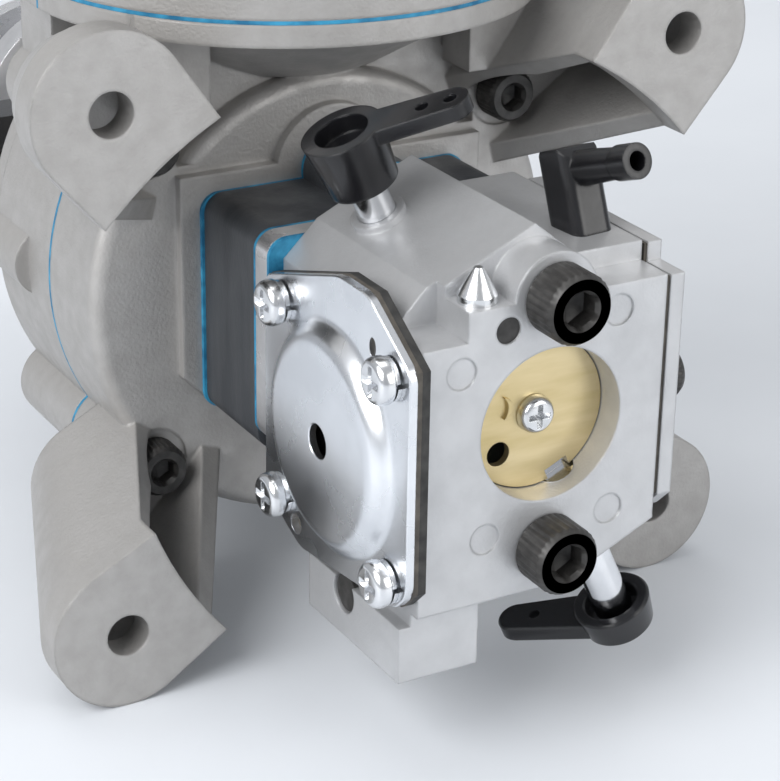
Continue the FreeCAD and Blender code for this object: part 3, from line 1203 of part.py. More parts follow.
def metering_side():
    """Gasket, diaphragm, domed cover and four screws on the left of the carburettor."""
    first = -carb_left - metering_gasket_thickness
    second = first - diaphragm_thickness
    needle_room = rod(needle_radius + 1.2, metering_gasket_thickness + diaphragm_thickness, second, needle_y(),
                      needle_z(), RIGHT)
    ring = cut(cover_plate(metering_gasket_thickness, -carb_left),
               rod(dome_radius - 2, metering_gasket_thickness, first, -cover_y, -cover_z, RIGHT), needle_room)
    node("metering_gasket", ring)
    node("metering_diaphragm", cut(cover_plate(diaphragm_thickness, first), needle_room))
    inside = dome_radius - cover_sheet
    dome = turned([(vent_radius, dome_height - cover_sheet), (inside - 2.4, dome_height - cover_sheet), (inside, 0),
                   (dome_radius + 0.4, 0), (dome_radius + 0.4, cover_sheet), (dome_radius, cover_sheet),
                   (dome_radius - 2.6, dome_height), (vent_radius, dome_height)], second, -cover_y, -cover_z, LEFT)
    sheet_metal = cut(cover_plate(cover_sheet, second),
                      rod(dome_radius, cover_sheet, second - cover_sheet, -cover_y, -cover_z, RIGHT))
    node("metering_cover", fuse(sheet_metal, dome))
    face = second - cover_sheet
    washers = []
    screws = []
    for y_sign, z_sign in CORNERS:
        y = cover_screw_y * y_sign - cover_y
        z = cover_screw_z * z_sign - cover_z
        washers.append(turned([(cover_screw_radius, 0), (cover_head_radius - 0.2, 0),
                               (cover_head_radius - 0.2, spring_washer), (cover_screw_radius, spring_washer)],
                              face, y, z, LEFT))
        depth = spring_washer + cover_sheet + diaphragm_thickness + metering_gasket_thickness + 5
        screws.append(turned([(0, -depth), (cover_screw_radius, -depth), (cover_screw_radius, 0),
                              (cover_head_radius, 0), (cover_head_radius, cover_head_height - 0.7),
                              (cover_head_radius - 0.8, cover_head_height), (0, cover_head_height)],
                             face - spring_washer, y, z, LEFT))
    node("cover_screws", group(*screws))
    node("spring_washers", group(*washers))


def pump_layer(inset, thickness, x):
    """One layer on the right side. Its upper edge follows the step of the body."""
    rear = carb_rear + 0.5 + inset
    front = rear + pump_half * 2 - inset * 2
    low = -pump_half + inset
    points = [(rear + pump_corner, low), (front, low), (front, carb_top - 0.4 - inset),
              (carb_rear + carb_step + inset, carb_top - 0.4 - inset),
              (carb_rear + carb_step + inset, pump_half - inset), (rear, pump_half - inset),
              (rear, low + pump_corner)]
    layer = slab(points, x, x + thickness, "x")
    return cut(layer, rod(pump_bolt_radius + hole_clearance, thickness, x, pump_y(), -pump_screw_z, RIGHT))


def pump_side():
    """Gasket, diaphragm, cover and central screw on the right of the carburettor."""
    first = carb_right + pump_gasket_thickness
    second = first + pump_diaphragm_thickness
    third = second + pump_plate
    node("pump_gasket", pump_layer(sized(0.4), pump_gasket_thickness, carb_right))
    node("pump_diaphragm", pump_layer(sized(0.2), pump_diaphragm_thickness, first))
    middle_half = pump_half * 0.62
    points, rounds = rounded(middle_half, middle_half, 2.5, (pump_y(), -pump_screw_z))
    middle = slab(points, second + pump_plate / 2, third + pump_rise, "x", rounds)
    way = rod(pump_bolt_radius + hole_clearance, pump_plate + pump_rise, second, pump_y(), -pump_screw_z, RIGHT)
    node("pump_cover", cut(fuse(pump_layer(sized(0), pump_plate, second), middle), way))
    length = third + pump_rise - carb_right + 4.5
    node("pump_screw", socket_screw(pump_bolt_radius, pump_screw_head, pump_screw_height, sized(3.0), length,
                                    third + pump_rise, pump_y(), -pump_screw_z, LEFT))


def fuel_elbow():
    """Rounded square column that leans forward, with a tapered spout toward the rear."""
    y = carb_front - elbow_setback
    half = elbow_side / 2
    points, rounds = rounded(half, half, 1.3)
    column = slab(points, -3, elbow_height, "z", rounds)
    bevelled = slab([(-half, -3), (half, -3), (half, elbow_height - 1.2), (half - 1.2, elbow_height),
                     (1.2 - half, elbow_height), (-half, elbow_height - 1.2)], -half, half, "x")
    spout_height = elbow_height - nipple_radius - 0.5
    spout = turned([(0, 0), (nipple_radius + 0.2, 0), (nipple_radius - 0.25, nipple_length - nipple_collar - 0.4),
                    (nipple_radius, nipple_length - nipple_collar), (nipple_radius, nipple_length),
                    (0, nipple_length)], 0, 0, spout_height, REARWARD)
    drilling = rod(1.15, nipple_length, 0, 0, spout_height, REARWARD)
    turn = Rotation(Vector(0, 0, 1), float(elbow_turn)) * Rotation(Vector(1, 0, 0), -float(elbow_lean))
    form = place(cut(fuse(common(column, bevelled), spout), drilling), elbow_x, y, carb_top, turn)
    under = box(elbow_x - elbow_side * 2, elbow_x + elbow_side * 2, y - elbow_side * 2, y + elbow_side * 2,
                carb_top - elbow_side * 2, carb_top)
    plug = rod(elbow_plug, 6, elbow_x, y, carb_top - 5, UPRIGHT)
    node("fuel_elbow", cut(fuse(cut(form, under), plug), rod(1.1, 8, elbow_x, y, carb_top - 5, UPRIGHT)))


def fittings():
    """Fuel elbow, mixture needle and ignition sensor."""
    fuel_elbow()
    node("mixture_needle", turned([(0, 0.4), (needle_radius + 0.7, 0.4), (needle_radius + 0.7, 2.4),
                                   (needle_radius, 2.4), (needle_radius, 6), (0, 6.8)],
                                  -needle_boss_left, needle_y(), needle_z(), RIGHT))
    rear = nose_rear + nose_length - sensor_depth - 1
    pad = box(-sensor_face, -nose_tip_radius * 0.8, rear, rear + sensor_depth, -sensor_half, sensor_half)
    swell = (nose_base_radius - nose_tip_radius) / (nose_length - nose_flange)
    clear = taper(nose_tip_radius + swell * (sensor_depth + 1) + 0.2, nose_tip_radius + swell + 0.2,
                  sensor_depth, 0, rear, 0)
    node("ignition_sensor", cut(pad, clear, *sensor_screw_ways(1.25 + hole_clearance)))
    screws = []
    for sign in (1, -1):
        screws.append(socket_screw(sized(1.25), sized(2.25), sized(2.5), sized(2.0), sensor_screw,
                                   -sensor_face, rear + sensor_depth / 2, sensor_screw_z * sign, RIGHT))
    node("sensor_screws", group(*screws))


def sensor_screw_ways(radius):
    y = nose_rear + nose_length - sensor_depth / 2 - 1
    return [rod(radius, sensor_screw, -sensor_face, y, sensor_screw_z * sign, RIGHT) for sign in (1, -1)]


def write_parts():
    """Checks every object and writes one file for each node."""
    document.recompute()
    for item in document.Objects:
        bad = [state for state in item.State if state in ("Invalid", "Error")]
        if bad:
            raise RuntimeError("%s (%s): %s" % (item.Label, item.Name, bad))
    os.makedirs("parts", exist_ok=True)
    for item in nodes:
        if item.Shape.isNull() or not item.Shape.isValid():
            raise RuntimeError("bad shape: " + item.Label)
        item.Shape.exportStep("parts/%s.step" % item.Label)
        print(item.Label, len(item.Shape.Solids), round(item.Shape.Volume, 1))


crankcase()
cylinder()
spark_plug()
front_housing()
bearings()
crankshaft()
piston_and_rod()
reed_valve()
intake_stack()
carb_body()
butterflies()
metering_side()
pump_side()
fittings()
write_parts()
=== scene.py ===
import json
import math

import bmesh
import bpy
from mathutils import Matrix, Vector

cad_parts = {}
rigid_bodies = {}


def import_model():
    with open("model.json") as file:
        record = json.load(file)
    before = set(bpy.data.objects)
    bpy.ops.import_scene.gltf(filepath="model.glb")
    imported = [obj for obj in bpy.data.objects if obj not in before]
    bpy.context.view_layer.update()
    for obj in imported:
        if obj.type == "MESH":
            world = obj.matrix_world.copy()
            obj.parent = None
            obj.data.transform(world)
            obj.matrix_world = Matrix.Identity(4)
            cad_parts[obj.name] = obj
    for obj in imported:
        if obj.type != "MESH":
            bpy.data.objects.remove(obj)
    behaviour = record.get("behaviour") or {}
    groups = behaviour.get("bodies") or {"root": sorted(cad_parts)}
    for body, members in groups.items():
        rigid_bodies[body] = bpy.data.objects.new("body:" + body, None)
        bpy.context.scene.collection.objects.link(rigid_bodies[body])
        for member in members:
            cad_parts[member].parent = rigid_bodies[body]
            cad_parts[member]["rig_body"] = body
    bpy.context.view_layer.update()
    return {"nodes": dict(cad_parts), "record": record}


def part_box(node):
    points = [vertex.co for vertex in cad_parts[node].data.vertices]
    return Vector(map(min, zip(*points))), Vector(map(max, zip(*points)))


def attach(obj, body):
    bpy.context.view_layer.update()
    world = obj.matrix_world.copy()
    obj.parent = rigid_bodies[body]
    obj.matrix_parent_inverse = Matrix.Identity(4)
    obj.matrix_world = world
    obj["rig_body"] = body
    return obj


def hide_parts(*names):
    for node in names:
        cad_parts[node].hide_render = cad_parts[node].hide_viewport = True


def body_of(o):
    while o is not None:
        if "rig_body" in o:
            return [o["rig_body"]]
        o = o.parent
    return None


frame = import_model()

MM = 0.001


# Materials: every one is a grain, a colour drift and a roughness drift in the row frame
def new_material(name):
    """Material with its nodes, its links and its shader."""
    material = bpy.data.materials.new(name)
    material.use_nodes = True
    nodes = material.node_tree.nodes
    links = material.node_tree.links
    return material, nodes, links, nodes["Principled BSDF"]


def noise(nodes, links, size_mm, detail=3.0, stretch=(1, 1, 1)):
    """Noise with features of about this size. stretch above 1 along an axis makes them finer there."""
    where = nodes.new("ShaderNodeTexCoord")
    mapping = nodes.new("ShaderNodeMapping")
    mapping.inputs["Scale"].default_value = stretch
    texture = nodes.new("ShaderNodeTexNoise")
    texture.inputs["Scale"].default_value = 1 / (size_mm * MM)
    texture.inputs["Detail"].default_value = detail
    links.new(where.outputs["Object"], mapping.inputs["Vector"])
    links.new(mapping.outputs["Vector"], texture.inputs["Vector"])
    return texture.outputs["Fac"]


def ramp(nodes, links, source, low, high, first, last):
    """Colour that goes from first to last while the source goes from low to high."""
    item = nodes.new("ShaderNodeValToRGB")
    item.color_ramp.elements[0].position = low
    item.color_ramp.elements[1].position = high
    item.color_ramp.elements[0].color = (*first, 1)
    item.color_ramp.elements[1].color = (*last, 1)
    links.new(source, item.inputs["Fac"])
    return item.outputs["Color"]


def span(nodes, links, source, first, last, low=0.3, high=0.7):
    """Number that goes from first to last while the source goes from low to high."""
    item = nodes.new("ShaderNodeMapRange")
    item.inputs["From Min"].default_value = low
    item.inputs["From Max"].default_value = high
    item.inputs["To Min"].default_value = first
    item.inputs["To Max"].default_value = last
    links.new(source, item.inputs["Value"])
    return item.outputs["Result"]


def surface(name, dark, light, metallic, rough, blotch=6.0, grain=0.5, depth=0.02,
            rounding=0.25, stretch=(1, 1, 1), specular=0.5, coat=0.0):
    """A surface with blotches of colour and gloss, a fine grain in relief and softly rounded edges.
    Sizes are in millimetres, rough is the least and greatest roughness."""
    material, nodes, links, shader = new_material(name)
    patches = noise(nodes, links, blotch, 4.0, stretch)
    fine = noise(nodes, links, grain, 2.0, stretch)
    links.new(ramp(nodes, links, patches, 0.35, 0.65, dark, light), shader.inputs["Base Color"])
    links.new(span(nodes, links, patches, rough[1], rough[0]), shader.inputs["Roughness"])
    shader.inputs["Metallic"].default_value = metallic
    shader.inputs["Specular IOR Level"].default_value = specular
    shader.inputs["Coat Weight"].default_value = coat
    bump = nodes.new("ShaderNodeBump")
    bump.inputs["Strength"].default_value = 1.0
    bump.inputs["Distance"].default_value = depth * MM
    links.new(fine, bump.inputs["Height"])
    if rounding:
        bevel = nodes.new("ShaderNodeBevel")
        bevel.samples = 3
        bevel.inputs["Radius"].default_value = rounding * MM
        links.new(bevel.outputs["Normal"], bump.inputs["Normal"])
    links.new(bump.outputs["Normal"], shader.inputs["Normal"])
    return material


MATERIALS = {
    "cast_aluminium": surface("cast_aluminium", (0.37, 0.36, 0.348), (0.402, 0.391, 0.38), 0.55, (0.42, 0.58),
                              3.0, 0.45, 0.06, 0.55),
    "machined_aluminium": surface("machined_aluminium", (0.6, 0.6, 0.61), (0.74, 0.74, 0.75), 0.85, (0.24, 0.38),
                                  5.0, 0.3, 0.006, 0.2),
    "carburettor_casting": surface("carburettor_casting", (0.49, 0.495, 0.505), (0.535, 0.54, 0.55), 0.6,
                                   (0.32, 0.46), 4.0, 0.35, 0.03, 0.4),
    "gasket_blue": surface("gasket_blue", (0.004, 0.12, 0.24), (0.03, 0.27, 0.46), 0.0, (0.45, 0.7),
                           2.2, 0.3, 0.03, 0.12),
    "gasket_black": surface("gasket_black", (0.012, 0.012, 0.012), (0.035, 0.034, 0.032), 0.0, (0.5, 0.7),
                            2.0, 0.3, 0.02, 0.08),
    "gasket_brown": surface("gasket_brown", (0.045, 0.04, 0.034), (0.085, 0.075, 0.062), 0.0, (0.55, 0.75),
                            2.0, 0.3, 0.02, 0.08),
    "insulator_black": surface("insulator_black", (0.035, 0.038, 0.043), (0.06, 0.064, 0.07), 0.0, (0.42, 0.6),
                               5.0, 0.25, 0.03, 0.3, (1, 1, 0.25)),
    "plastic_black": surface("plastic_black", (0.005, 0.005, 0.006), (0.012, 0.012, 0.014), 0.0, (0.14, 0.26),
                             6.0, 0.8, 0.008, 0.4),
    "black_steel": surface("black_steel", (0.022, 0.021, 0.02), (0.044, 0.042, 0.04), 0.2, (0.36, 0.5),
                           1.4, 0.2, 0.012, 0.12),
    "zinc_steel": surface("zinc_steel", (0.66, 0.67, 0.68), (0.8, 0.81, 0.83), 1.0, (0.14, 0.26),
                          4.0, 0.3, 0.004, 0.12),
    "polished_steel": surface("polished_steel", (0.7, 0.71, 0.73), (0.82, 0.83, 0.85), 1.0, (0.06, 0.14),
                              5.0, 0.3, 0.002, 0.1),
    "ground_steel": surface("ground_steel", (0.42, 0.43, 0.45), (0.56, 0.57, 0.59), 1.0, (0.25, 0.4),
                            4.0, 0.25, 0.006, 0.2),
    "brass": surface("brass", (0.56, 0.45, 0.23), (0.68, 0.56, 0.33), 0.85, (0.28, 0.42),
                     3.0, 0.3, 0.008, 0.15, (0.2, 1, 1)),
    "ceramic_white": surface("ceramic_white", (0.78, 0.78, 0.75), (0.85, 0.85, 0.83), 0.0, (0.1, 0.2),
                             5.0, 0.5, 0.003, 0.2, (1, 1, 1), 0.6, 0.3),
}
# The pressed cover keeps its rolled gloss: brighter and smoother than the zinc on the screws
COVER_METAL = surface("cover_metal", (0.68, 0.7, 0.73), (0.76, 0.78, 0.81), 1.0, (0.22, 0.32),
                      8.0, 0.5, 0.002, 0.12)
SLOTS = {entry["node"]: entry["material_slot"] for entry in frame["record"]["subparts"]}


def dress_nodes():
    """Materials of the carried-over nodes, with smooth shading between shallow angles."""
    for name, item in frame["nodes"].items():
        for slot in item.material_slots:
            slot.material = MATERIALS[SLOTS[name]]
        item.data.shade_smooth()
        item.data.set_sharp_from_angle(angle=math.radians(32))


# Pieces in finer detail than their solids. Lengths are in millimetres, and +Z runs out of the face
STEPS = 120
CROSS_WIDTH = 0.24


def ring_radius(kind, radius, number):
    """Radius of one of the points of a ring: round, knurled, hexagonal or a cross with four arms."""
    angle = number * 2 * math.pi / STEPS
    if kind == "knurled":
        return radius - (0.14 if number % 4 >= 2 else 0)
    if kind == "hexagon":
        return radius / math.cos((angle + math.pi / 6) % (math.pi / 3) - math.pi / 6)
    if kind == "cross":
        away = abs((angle + math.pi / 4) % (math.pi / 2) - math.pi / 4)
        return min(radius / math.cos(away), radius * CROSS_WIDTH / max(math.sin(away), 0.001))
    return radius


def lathe(form, rings):
    """Adds rings of (radius, height, kind) round Z to a form. A radius of 0 closes an end."""
    made = []
    for radius, height, *kind in rings:
        kind = kind[0] if kind else "round"
        points = []
        for number in range(STEPS if radius else 1):
            angle = number * 2 * math.pi / STEPS
            reach = ring_radius(kind, radius, number) if radius else 0
            points.append(form.verts.new((reach * math.cos(angle), reach * math.sin(angle), height)))
        made.append(points)
    for first, last in zip(made, made[1:]):
        for number in range(STEPS):
            follow = (number + 1) % STEPS
            corners = [first[number % len(first)], first[follow % len(first)],
                       last[follow % len(last)], last[number % len(last)]]
            form.faces.new(list(dict.fromkeys(corners)))


def box_of(node):
    """Lowest and highest corner of a node in millimetres."""
    return [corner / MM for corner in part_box(node)]


def join_rings(form, rings):
    """Walls between closed rings that have equally many points."""
    for first, last in zip(rings, rings[1:]):
        for number in range(len(first)):
            follow = (number + 1) % len(first)
            form.faces.new([first[number], first[follow], last[follow], last[number]])


def close_ends(form, rings):
    """Faces over the first and the last ring."""
    form.faces.new(rings[0])
    form.faces.new(list(reversed(rings[-1])))


def facing(out):
    """Turn that lays +Z along out and keeps +Y as upright as it can."""
    return Vector(out).to_track_quat("Z", "Y").to_matrix().to_4x4()


def settle(name, form, material, places, turn, node, stands=True):
    """Object from copies of a form at places. It rides the body of a node.
    It also stands for that node unless told not to."""
    bmesh.ops.recalc_face_normals(form, faces=form.faces)
    mesh = bpy.data.meshes.new(name)
    whole = bmesh.new()
    for place in places:
        copy = form.copy()
        copy.transform(Matrix.Scale(MM, 4) @ Matrix.Translation(place) @ turn)
        part = bpy.data.meshes.new("part")
        copy.to_mesh(part)
        copy.free()
        whole.from_mesh(part)
        bpy.data.meshes.remove(part)
    form.free()
    whole.to_mesh(mesh)
    whole.free()
    mesh.materials.append(material)
    mesh.shade_smooth()
    mesh.set_sharp_from_angle(angle=math.radians(34))
    item = bpy.data.objects.new(name, mesh)
    bpy.context.scene.collection.objects.link(item)
    if stands:
        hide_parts(node)
    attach(item, body_of(frame["nodes"][node])[0])
    return item


def head_spots(node, head_radius, axis, side):
    """Middles of the outer faces of heads that touch the corners of a node's box, and the node's length.
    side is 1 or -1 along axis."""
    low, high = box_of(node)
    across = [number for number in range(3) if number != axis]
    choices = [sorted({round(low[number] + head_radius, 3), round(high[number] - head_radius, 3)})
               for number in across]
    spots = []
    for first in choices[0]:
        for second in choices[1]:
            spot = [0.0, 0.0, 0.0]
            spot[across[0]] = first
            spot[across[1]] = second
            spot[axis] = high[axis] if side > 0 else low[axis]
            spots.append(Vector(spot))
    return spots, high[axis] - low[axis]


def socket_screws(node, radius, head_radius, head, key, axis, side, lift=0.0):
    """Knurled heads with a hexagon socket on plain shanks. lift stands a head further out."""
    spots, length = head_spots(node, head_radius, axis, side)
    for spot in spots:
        spot[axis] += lift * side
    length += lift
    form = bmesh.new()
    lathe(form, [(0, -length), (radius - 0.4, -length), (radius, 0.4 - length), (radius, -head),
                 (head_radius - 0.25, -head), (head_radius, 0.25 - head), (head_radius, 0.4 - head, "knurled"),
                 (head_radius, -0.75, "knurled"), (head_radius - 0.1, -0.6), (head_radius - 0.5, 0),
                 (key / 2 + 0.45, 0), (key / 2, -0.55, "hexagon"), (key / 2, -head * 0.55, "hexagon"),
                 (0, -head * 0.55 - key * 0.2)])
    out = [0, 0, 0]
    out[axis] = side
    settle(node + "_knurled", form, MATERIALS[SLOTS[node]], spots, facing(out), node)


def cross_screws(node, radius, head_radius, head, axis, side):
    """Rounded heads with a cross recess."""
    spots, length = head_spots(node, head_radius, axis, side)
    form = bmesh.new()
    arm = head_radius * 0.66
    lathe(form, [(0, -length), (radius - 0.3, -length), (radius, 0.3 - length), (radius, -head),
                 (head_radius - 0.15, -head), (head_radius, 0.2 - head), (head_radius, -head * 0.5),
                 (head_radius * 0.96, -head * 0.3), (head_radius * 0.88, -head * 0.13),
                 (head_radius * 0.76, -head * 0.02), (head_radius * 0.7, 0), (arm, 0, "cross"),
                 (arm * 0.85, -head * 0.2, "cross"), (arm * 0.5, -head * 0.62, "cross"), (0, -head * 0.78)])
    out = [0, 0, 0]
    out[axis] = side
    settle(node + "_crossed", form, MATERIALS[SLOTS[node]], spots, facing(out), node)


def split_washers():
    """Four rings of square wire, cut through and sprung apart at the cut."""
    node = "spring_washers"
    outer = 2.6
    inner = 1.6
    spots, room = head_spots(node, outer, 0, -1)
    wire = room * 0.66
    rise = room - wire
    form = bmesh.new()
    rings = []
    pieces = 96
    gap = 0.24
    for number in range(pieces + 1):
        share = number / pieces
        angle = gap / 2 + share * (2 * math.pi - gap)
        lift = -rise * share
        rings.append([form.verts.new((reach * math.cos(angle), reach * math.sin(angle), height + lift))
                      for reach, height in ((outer, 0), (inner, 0), (inner, -wire), (outer, -wire))])
    join_rings(form, rings)
    close_ends(form, rings)
    settle("spring_washers_split", form, MATERIALS[SLOTS[node]], spots, facing((-1, 0, 0)), node)


def choke_screw():
    """Rounded screw with a cross recess that holds the brass plate."""
    node = "choke_plate_screw"
    low, high = box_of(node)
    middle = (low + high) / 2
    face = box_of("choke_plate")[0][1]
    radius = 2.3
    head = 1.5
    shank = 0.85
    shank_length = 2.6
    form = bmesh.new()
    lathe(form, [(0, -head - shank_length), (shank, -head - shank_length), (shank, -head), (radius - 0.1, -head),
                 (radius, 0.15 - head), (radius * 0.97, -head * 0.45), (radius * 0.86, -head * 0.14),
                 (radius * 0.72, 0), (radius * 0.64, 0, "cross"), (radius * 0.52, -head * 0.3, "cross"),
                 (radius * 0.3, -head * 0.7, "cross"), (0, -head * 0.85)])
    settle("choke_screw_crossed", form, MATERIALS[SLOTS[node]], [Vector((middle[0], face - head, middle[2]))],
           facing((0, -1, 0)), node)
    choke_tab(Vector((middle[0] - 4.9, face, middle[2] + 1.4)))


def choke_tab(place):
    """Crescent bent up from the brass plate beside its screw."""
    radius = 1.5
    half_angle = 62
    half_width = 0.42
    end_width = 0.06
    height = 0.5
    pieces = 16
    form = bmesh.new()
    rings = []
    for number in range(pieces + 1):
        share = number / pieces
        angle = math.radians(-half_angle + 2 * half_angle * share)
        width = half_width * math.sin(math.pi * share) + end_width
        corners = ((-width, -0.1), (width, -0.1), (width * 0.6, height), (-width * 0.6, height))
        rings.append([form.verts.new(((radius + aside) * math.cos(angle), (radius + aside) * math.sin(angle), level))
                      for aside, level in corners])
    join_rings(form, rings)
    close_ends(form, rings)
    settle("choke_plate_tab", form, MATERIALS["brass"], [place], facing((0, -1, 0)), "choke_plate", False)


def outline_reach(points, angle):
    """Distance from the middle to a closed outline round it, along a direction."""
    ray = Vector((math.cos(angle), math.sin(angle)))
    found = []
    for start, finish in zip(points, points[1:] + points[:1]):
        side = finish - start
        spread = ray.cross(side)
        if abs(spread) > 1e-6:
            share = start.cross(ray) / spread
            away = start.cross(side) / spread
            if -1e-6 <= share <= 1 + 1e-6 and away > 0:
                found.append(away)
    return min(found)


def metering_cover():
    """Pressed cover: flat plate with cut corners, soft shoulder, level dome with a vent, two small holes."""
    node = "metering_cover"
    low, high = box_of(node)
    middle_y, middle_z = -16.6, -3.8
    front, rear, top, bottom = high[1], low[1], high[2], low[2]
    cut_height = 5.9
    cut_length = 9.7
    flat_length = 6.6
    low_cut = 2.6
    corners = [(front, top - cut_height), (rear + cut_length + flat_length, top), (rear + cut_length, top),
               (rear, top - cut_height), (rear, bottom + low_cut * 2), (rear + low_cut, bottom + low_cut),
               (front - low_cut * 3.5, bottom), (front - low_cut * 2, bottom + 1.6), (front, bottom + 4.4)]
    points = [Vector((middle_y - y, z - middle_z)) for y, z in corners]
    steps = 360
    angles = [number * 2 * math.pi / steps for number in range(steps)]
    raw = [outline_reach(points, angle) for angle in angles]
    shifts = range(-3, 4)
    edge = [sum(raw[(number + shift) % steps] for shift in shifts) / len(shifts) for number in range(steps)]
    height = high[0] - low[0]
    sheet = 1.0
    vent = 2.1
    profile = [(vent, height - 0.95), (vent, height - 0.12), (vent + 0.14, height), (10.9, height),
               (11.6, height - 0.08), (12.2, height - 0.3), (12.8, height - 0.75), (13.3, height - 1.3),
               (13.7, sheet + 0.45), (14.1, sheet + 0.16), (14.7, sheet)]
    form = bmesh.new()

    def ring(reaches, level):
        return [form.verts.new((reach * math.cos(angle), reach * math.sin(angle), level))
                for reach, angle in zip(reaches, angles)]

    rings = [ring([radius] * steps, level) for radius, level in profile]
    rings += [ring([reach - 0.14 for reach in edge], sheet), ring(edge, sheet - 0.14), ring(edge, 0),
              ring([13.2] * steps, 0), ring([11.2] * steps, height - 0.95)]
    join_rings(form, rings + rings[:1])
    leftward = facing((-1, 0, 0))
    item = settle("metering_cover_pressed", form, COVER_METAL, [Vector((high[0], middle_y, middle_z))],
                  leftward, node)
    oval_hole = ((high[0], -25.4, 10.8), 0.75, 1.15)
    round_hole = ((high[0], -7.2, -19.0), 1.35, 1.35)
    pierce(item, leftward, [oval_hole, round_hole])


def pierce(item, turn, holes):
    """Cuts round or oval holes. Each is (middle, half width, half height), through along the turn's Z."""
    form = bmesh.new()
    for middle, half_width, half_height in holes:
        made = bmesh.ops.create_cone(form, cap_ends=True, segments=40, radius1=1, radius2=1, depth=6)
        for vertex in made["verts"]:
            across, up, along = vertex.co
            local = turn @ Vector((across * half_width, up * half_height, along))
            vertex.co = (local + Vector(middle)) * MM
    mesh = bpy.data.meshes.new("cutter")
    bmesh.ops.recalc_face_normals(form, faces=form.faces)
    form.to_mesh(mesh)
    form.free()
    cutter = bpy.data.objects.new("cutter", mesh)
    bpy.context.scene.collection.objects.link(cutter)
    cutting = item.modifiers.new("holes", "BOOLEAN")
    cutting.operation = "DIFFERENCE"
    cutting.solver = "EXACT"
    cutting.object = cutter
    bpy.context.view_layer.update()
    made = bpy.data.meshes.new_from_object(item.evaluated_get(bpy.context.evaluated_depsgraph_get()))
    item.modifiers.clear()
    item.data = made
    bpy.data.objects.remove(cutter)


def choke_lever():
    """Short flared hub at the end of the choke shaft, with a flat arm that has two link holes."""
    lean = math.radians(25)
    middle_y = sum(corner[1] for corner in box_of("choke_shaft")) / 2
    turn = Matrix(((-math.cos(lean), 0, math.sin(lean), 0), (0, 1, 0, 0),
                   (-math.sin(lean), 0, -math.cos(lean), 0), (0, 0, 0, 1)))
    near, far = 31.0, 35.2
    place = Vector((0, middle_y, 0))
    form = bmesh.new()
    lathe(form, [(0, near + 2.0), (3.1, near + 2.0), (3.3, near + 0.2), (3.5, near), (4.6, near),
                 (4.85, near + 0.3), (4.3, far - 0.4), (3.9, far), (0, far)])
    arm, middle_level, aim = choke_arm(near)
    settle("choke_lever_hub", form, MATERIALS["plastic_black"], [place], turn, "choke_lever")
    blade = settle("choke_lever_arm", arm, MATERIALS["plastic_black"], [place], turn, "choke_lever", False)
    hole = 0.7
    middles = [place + turn @ Vector((along * math.cos(aim), along * math.sin(aim), middle_level))
               for along in (10.5, 13.4)]
    pierce(blade, turn, [(middle, hole, hole) for middle in middles])


def choke_arm(near):
    """Flat arm with a round end, from the hub's near face. Gives the form, its middle level and its direction."""
    reach = 13.2
    end_radius = 2.2
    root = 3.1
    root_start, root_finish = -0.5, 2.0
    rim = 0.25
    aim = math.radians(47)
    low_level, high_level = near + 1.5, near + 3.8
    pieces = 24
    outline = []
    for number in range(pieces + 1):
        angle = math.radians(-90 + 180 * number / pieces)
        outline.append((reach + end_radius * math.cos(angle), end_radius * math.sin(angle)))
    outline += [(root_finish, root), (root_start, root), (root_start, -root), (root_finish, -root)]
    form = bmesh.new()
    rings = []
    for level, inset in ((low_level, 0.2), (low_level + rim, 0), (high_level - rim, 0), (high_level, 0.2)):
        ring = []
        for along, aside in outline:
            along = along - inset if along > reach - end_radius else along
            aside = aside * (1 - inset / 3)
            ring.append(form.verts.new((along * math.cos(aim) - aside * math.sin(aim),
                                        along * math.sin(aim) + aside * math.cos(aim), level)))
        rings.append(ring)
    join_rings(form, rings)
    close_ends(form, rings)
    return form, (low_level + high_level) / 2, aim


def replaced_fasteners():
    """Screws and washers. Axis 0 is X, 1 is Y and 2 is Z."""
    socket_screws("carb_screws", radius=2.5, head_radius=4.25, head=5.0, key=4.0, axis=1, side=-1)
    socket_screws("case_bolts", radius=2.0, head_radius=3.5, head=4.0, key=3.0, axis=1, side=-1)
    socket_screws("cylinder_bolts", radius=2.5, head_radius=4.25, head=5.0, key=4.0, axis=2, side=1)
    socket_screws("pump_screw", radius=2.0, head_radius=3.5, head=7.0, key=3.0, axis=0, side=1, lift=2.1)
    choke_screw()
    socket_screws("sensor_screws", radius=1.25, head_radius=2.25, head=2.5, key=2.0, axis=0, side=-1)
    cross_screws("cover_screws", radius=1.5, head_radius=2.8, head=1.9, axis=0, side=-1)
    split_washers()


# Stage: floor, lights and camera
def stage():
    """Pale plain floor under the lowest piece."""
    floor_z = cad_floor()
    mesh = bpy.data.meshes.new("floor")
    form = bmesh.new()
    bmesh.ops.create_grid(form, x_segments=1, y_segments=1, size=3.0)
    form.to_mesh(mesh)
    form.free()
    floor = bpy.data.objects.new("floor", mesh)
    floor.location.z = floor_z
    bpy.context.scene.collection.objects.link(floor)
    mesh.materials.append(surface("floor", (0.63, 0.655, 0.69), (0.66, 0.685, 0.72), 0.0, (0.42, 0.5),
                                  60.0, 8.0, 0.01, 0.0))


def cad_floor():
    """Height of the lowest of the pieces that hang down."""
    return min(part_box(name)[0][2] for name in ("rear_housing", "carb_body", "front_housing", "choke_lever"))


def lamp(name, place, target, size, power, colour=(1, 1, 1)):
    """Rectangular lamp at place that points at target."""
    data = bpy.data.lights.new(name, "AREA")
    data.shape = "RECTANGLE"
    data.size, data.size_y = size
    data.energy = power
    data.color = colour
    item = bpy.data.objects.new(name, data)
    item.location = place
    item.rotation_euler = (Vector(target) - Vector(place)).to_track_quat("-Z", "Y").to_euler()
    bpy.context.scene.collection.objects.link(item)


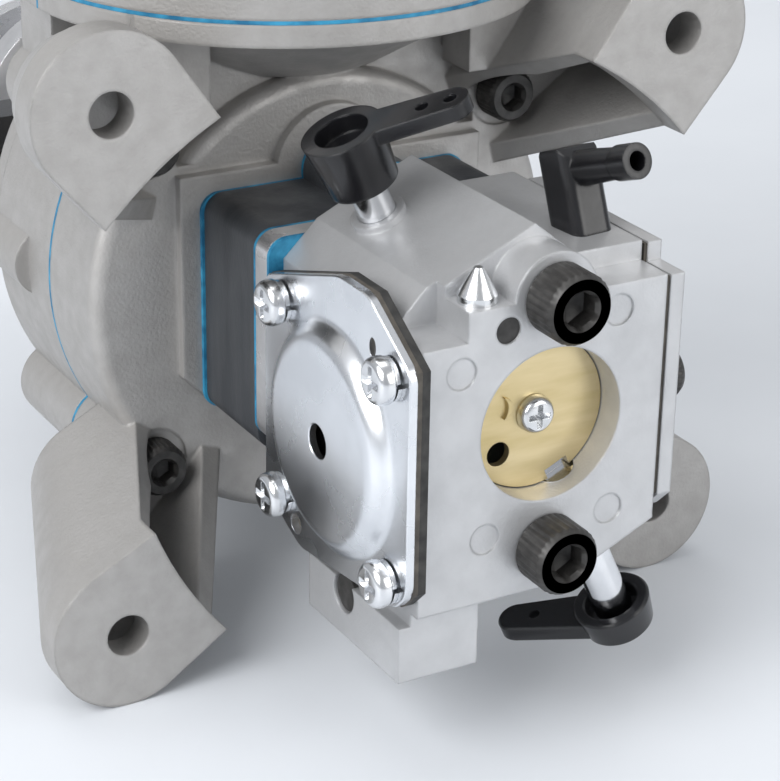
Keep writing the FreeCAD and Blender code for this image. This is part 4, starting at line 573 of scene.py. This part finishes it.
def light():
    """Three large soft lamps in a bright studio."""
    lamp("key", (-1.0, -0.3, 0.76), (0, 0, 0), (0.9, 0.9), 17.6)
    lamp("fill", (0.7, -1.2, 0.6), (0, 0, 0), (1.0, 1.0), 10.4, (1.0, 0.99, 0.97))
    lamp("top", (0.0, 0.4, 1.6), (0, 0, 0), (1.2, 1.2), 8.0)
    world = bpy.data.worlds.new("studio")
    world.use_nodes = True
    nodes = world.node_tree.nodes
    links = world.node_tree.links
    where = nodes.new("ShaderNodeTexCoord")
    split = nodes.new("ShaderNodeSeparateXYZ")
    links.new(where.outputs["Generated"], split.inputs["Vector"])
    shade = ramp(nodes, links, split.outputs["Z"], 0.0, 0.8, (0.8, 0.83, 0.88), (0.95, 0.97, 1.0))
    back = nodes["Background"]
    links.new(shade, back.inputs["Color"])
    back.inputs["Strength"].default_value = 0.58
    bpy.context.scene.world = world
    bpy.context.scene.view_settings.view_transform = "Standard"


# Camera fitted to the photograph: angles in degrees, distances in millimetres
CAMERA_AZIMUTH = -29.937
CAMERA_ELEVATION = 23.633
CAMERA_ROLL = 0.966
CAMERA_SIDEWAYS = -2.517
CAMERA_UPWARD = -7.543
CAMERA_DISTANCE = 297.544
CAMERA_LENS = 110.77


def camera():
    """Camera that looks as the photograph's does."""
    azimuth, elevation, roll = (math.radians(v) for v in (CAMERA_AZIMUTH, CAMERA_ELEVATION, CAMERA_ROLL))
    back = Vector((math.sin(azimuth) * math.cos(elevation), -math.cos(azimuth) * math.cos(elevation),
                   math.sin(elevation)))
    level = Vector((math.cos(azimuth), math.sin(azimuth), 0))
    upright = back.cross(level)
    right = level * math.cos(roll) + upright * math.sin(roll)
    up = upright * math.cos(roll) - level * math.sin(roll)
    eye = right * CAMERA_SIDEWAYS + up * CAMERA_UPWARD + back * CAMERA_DISTANCE
    data = bpy.data.cameras.new("camera")
    data.lens = CAMERA_LENS
    data.sensor_fit = "HORIZONTAL"
    data.sensor_width = 36
    data.clip_start = 0.01
    item = bpy.data.objects.new("camera", data)
    turn = Matrix((right, up, back)).transposed().to_4x4()
    item.matrix_world = Matrix.Translation(eye * MM) @ turn
    bpy.context.scene.collection.objects.link(item)
    bpy.context.scene.camera = item


dress_nodes()
replaced_fasteners()
metering_cover()
choke_lever()
stage()
light()
camera()
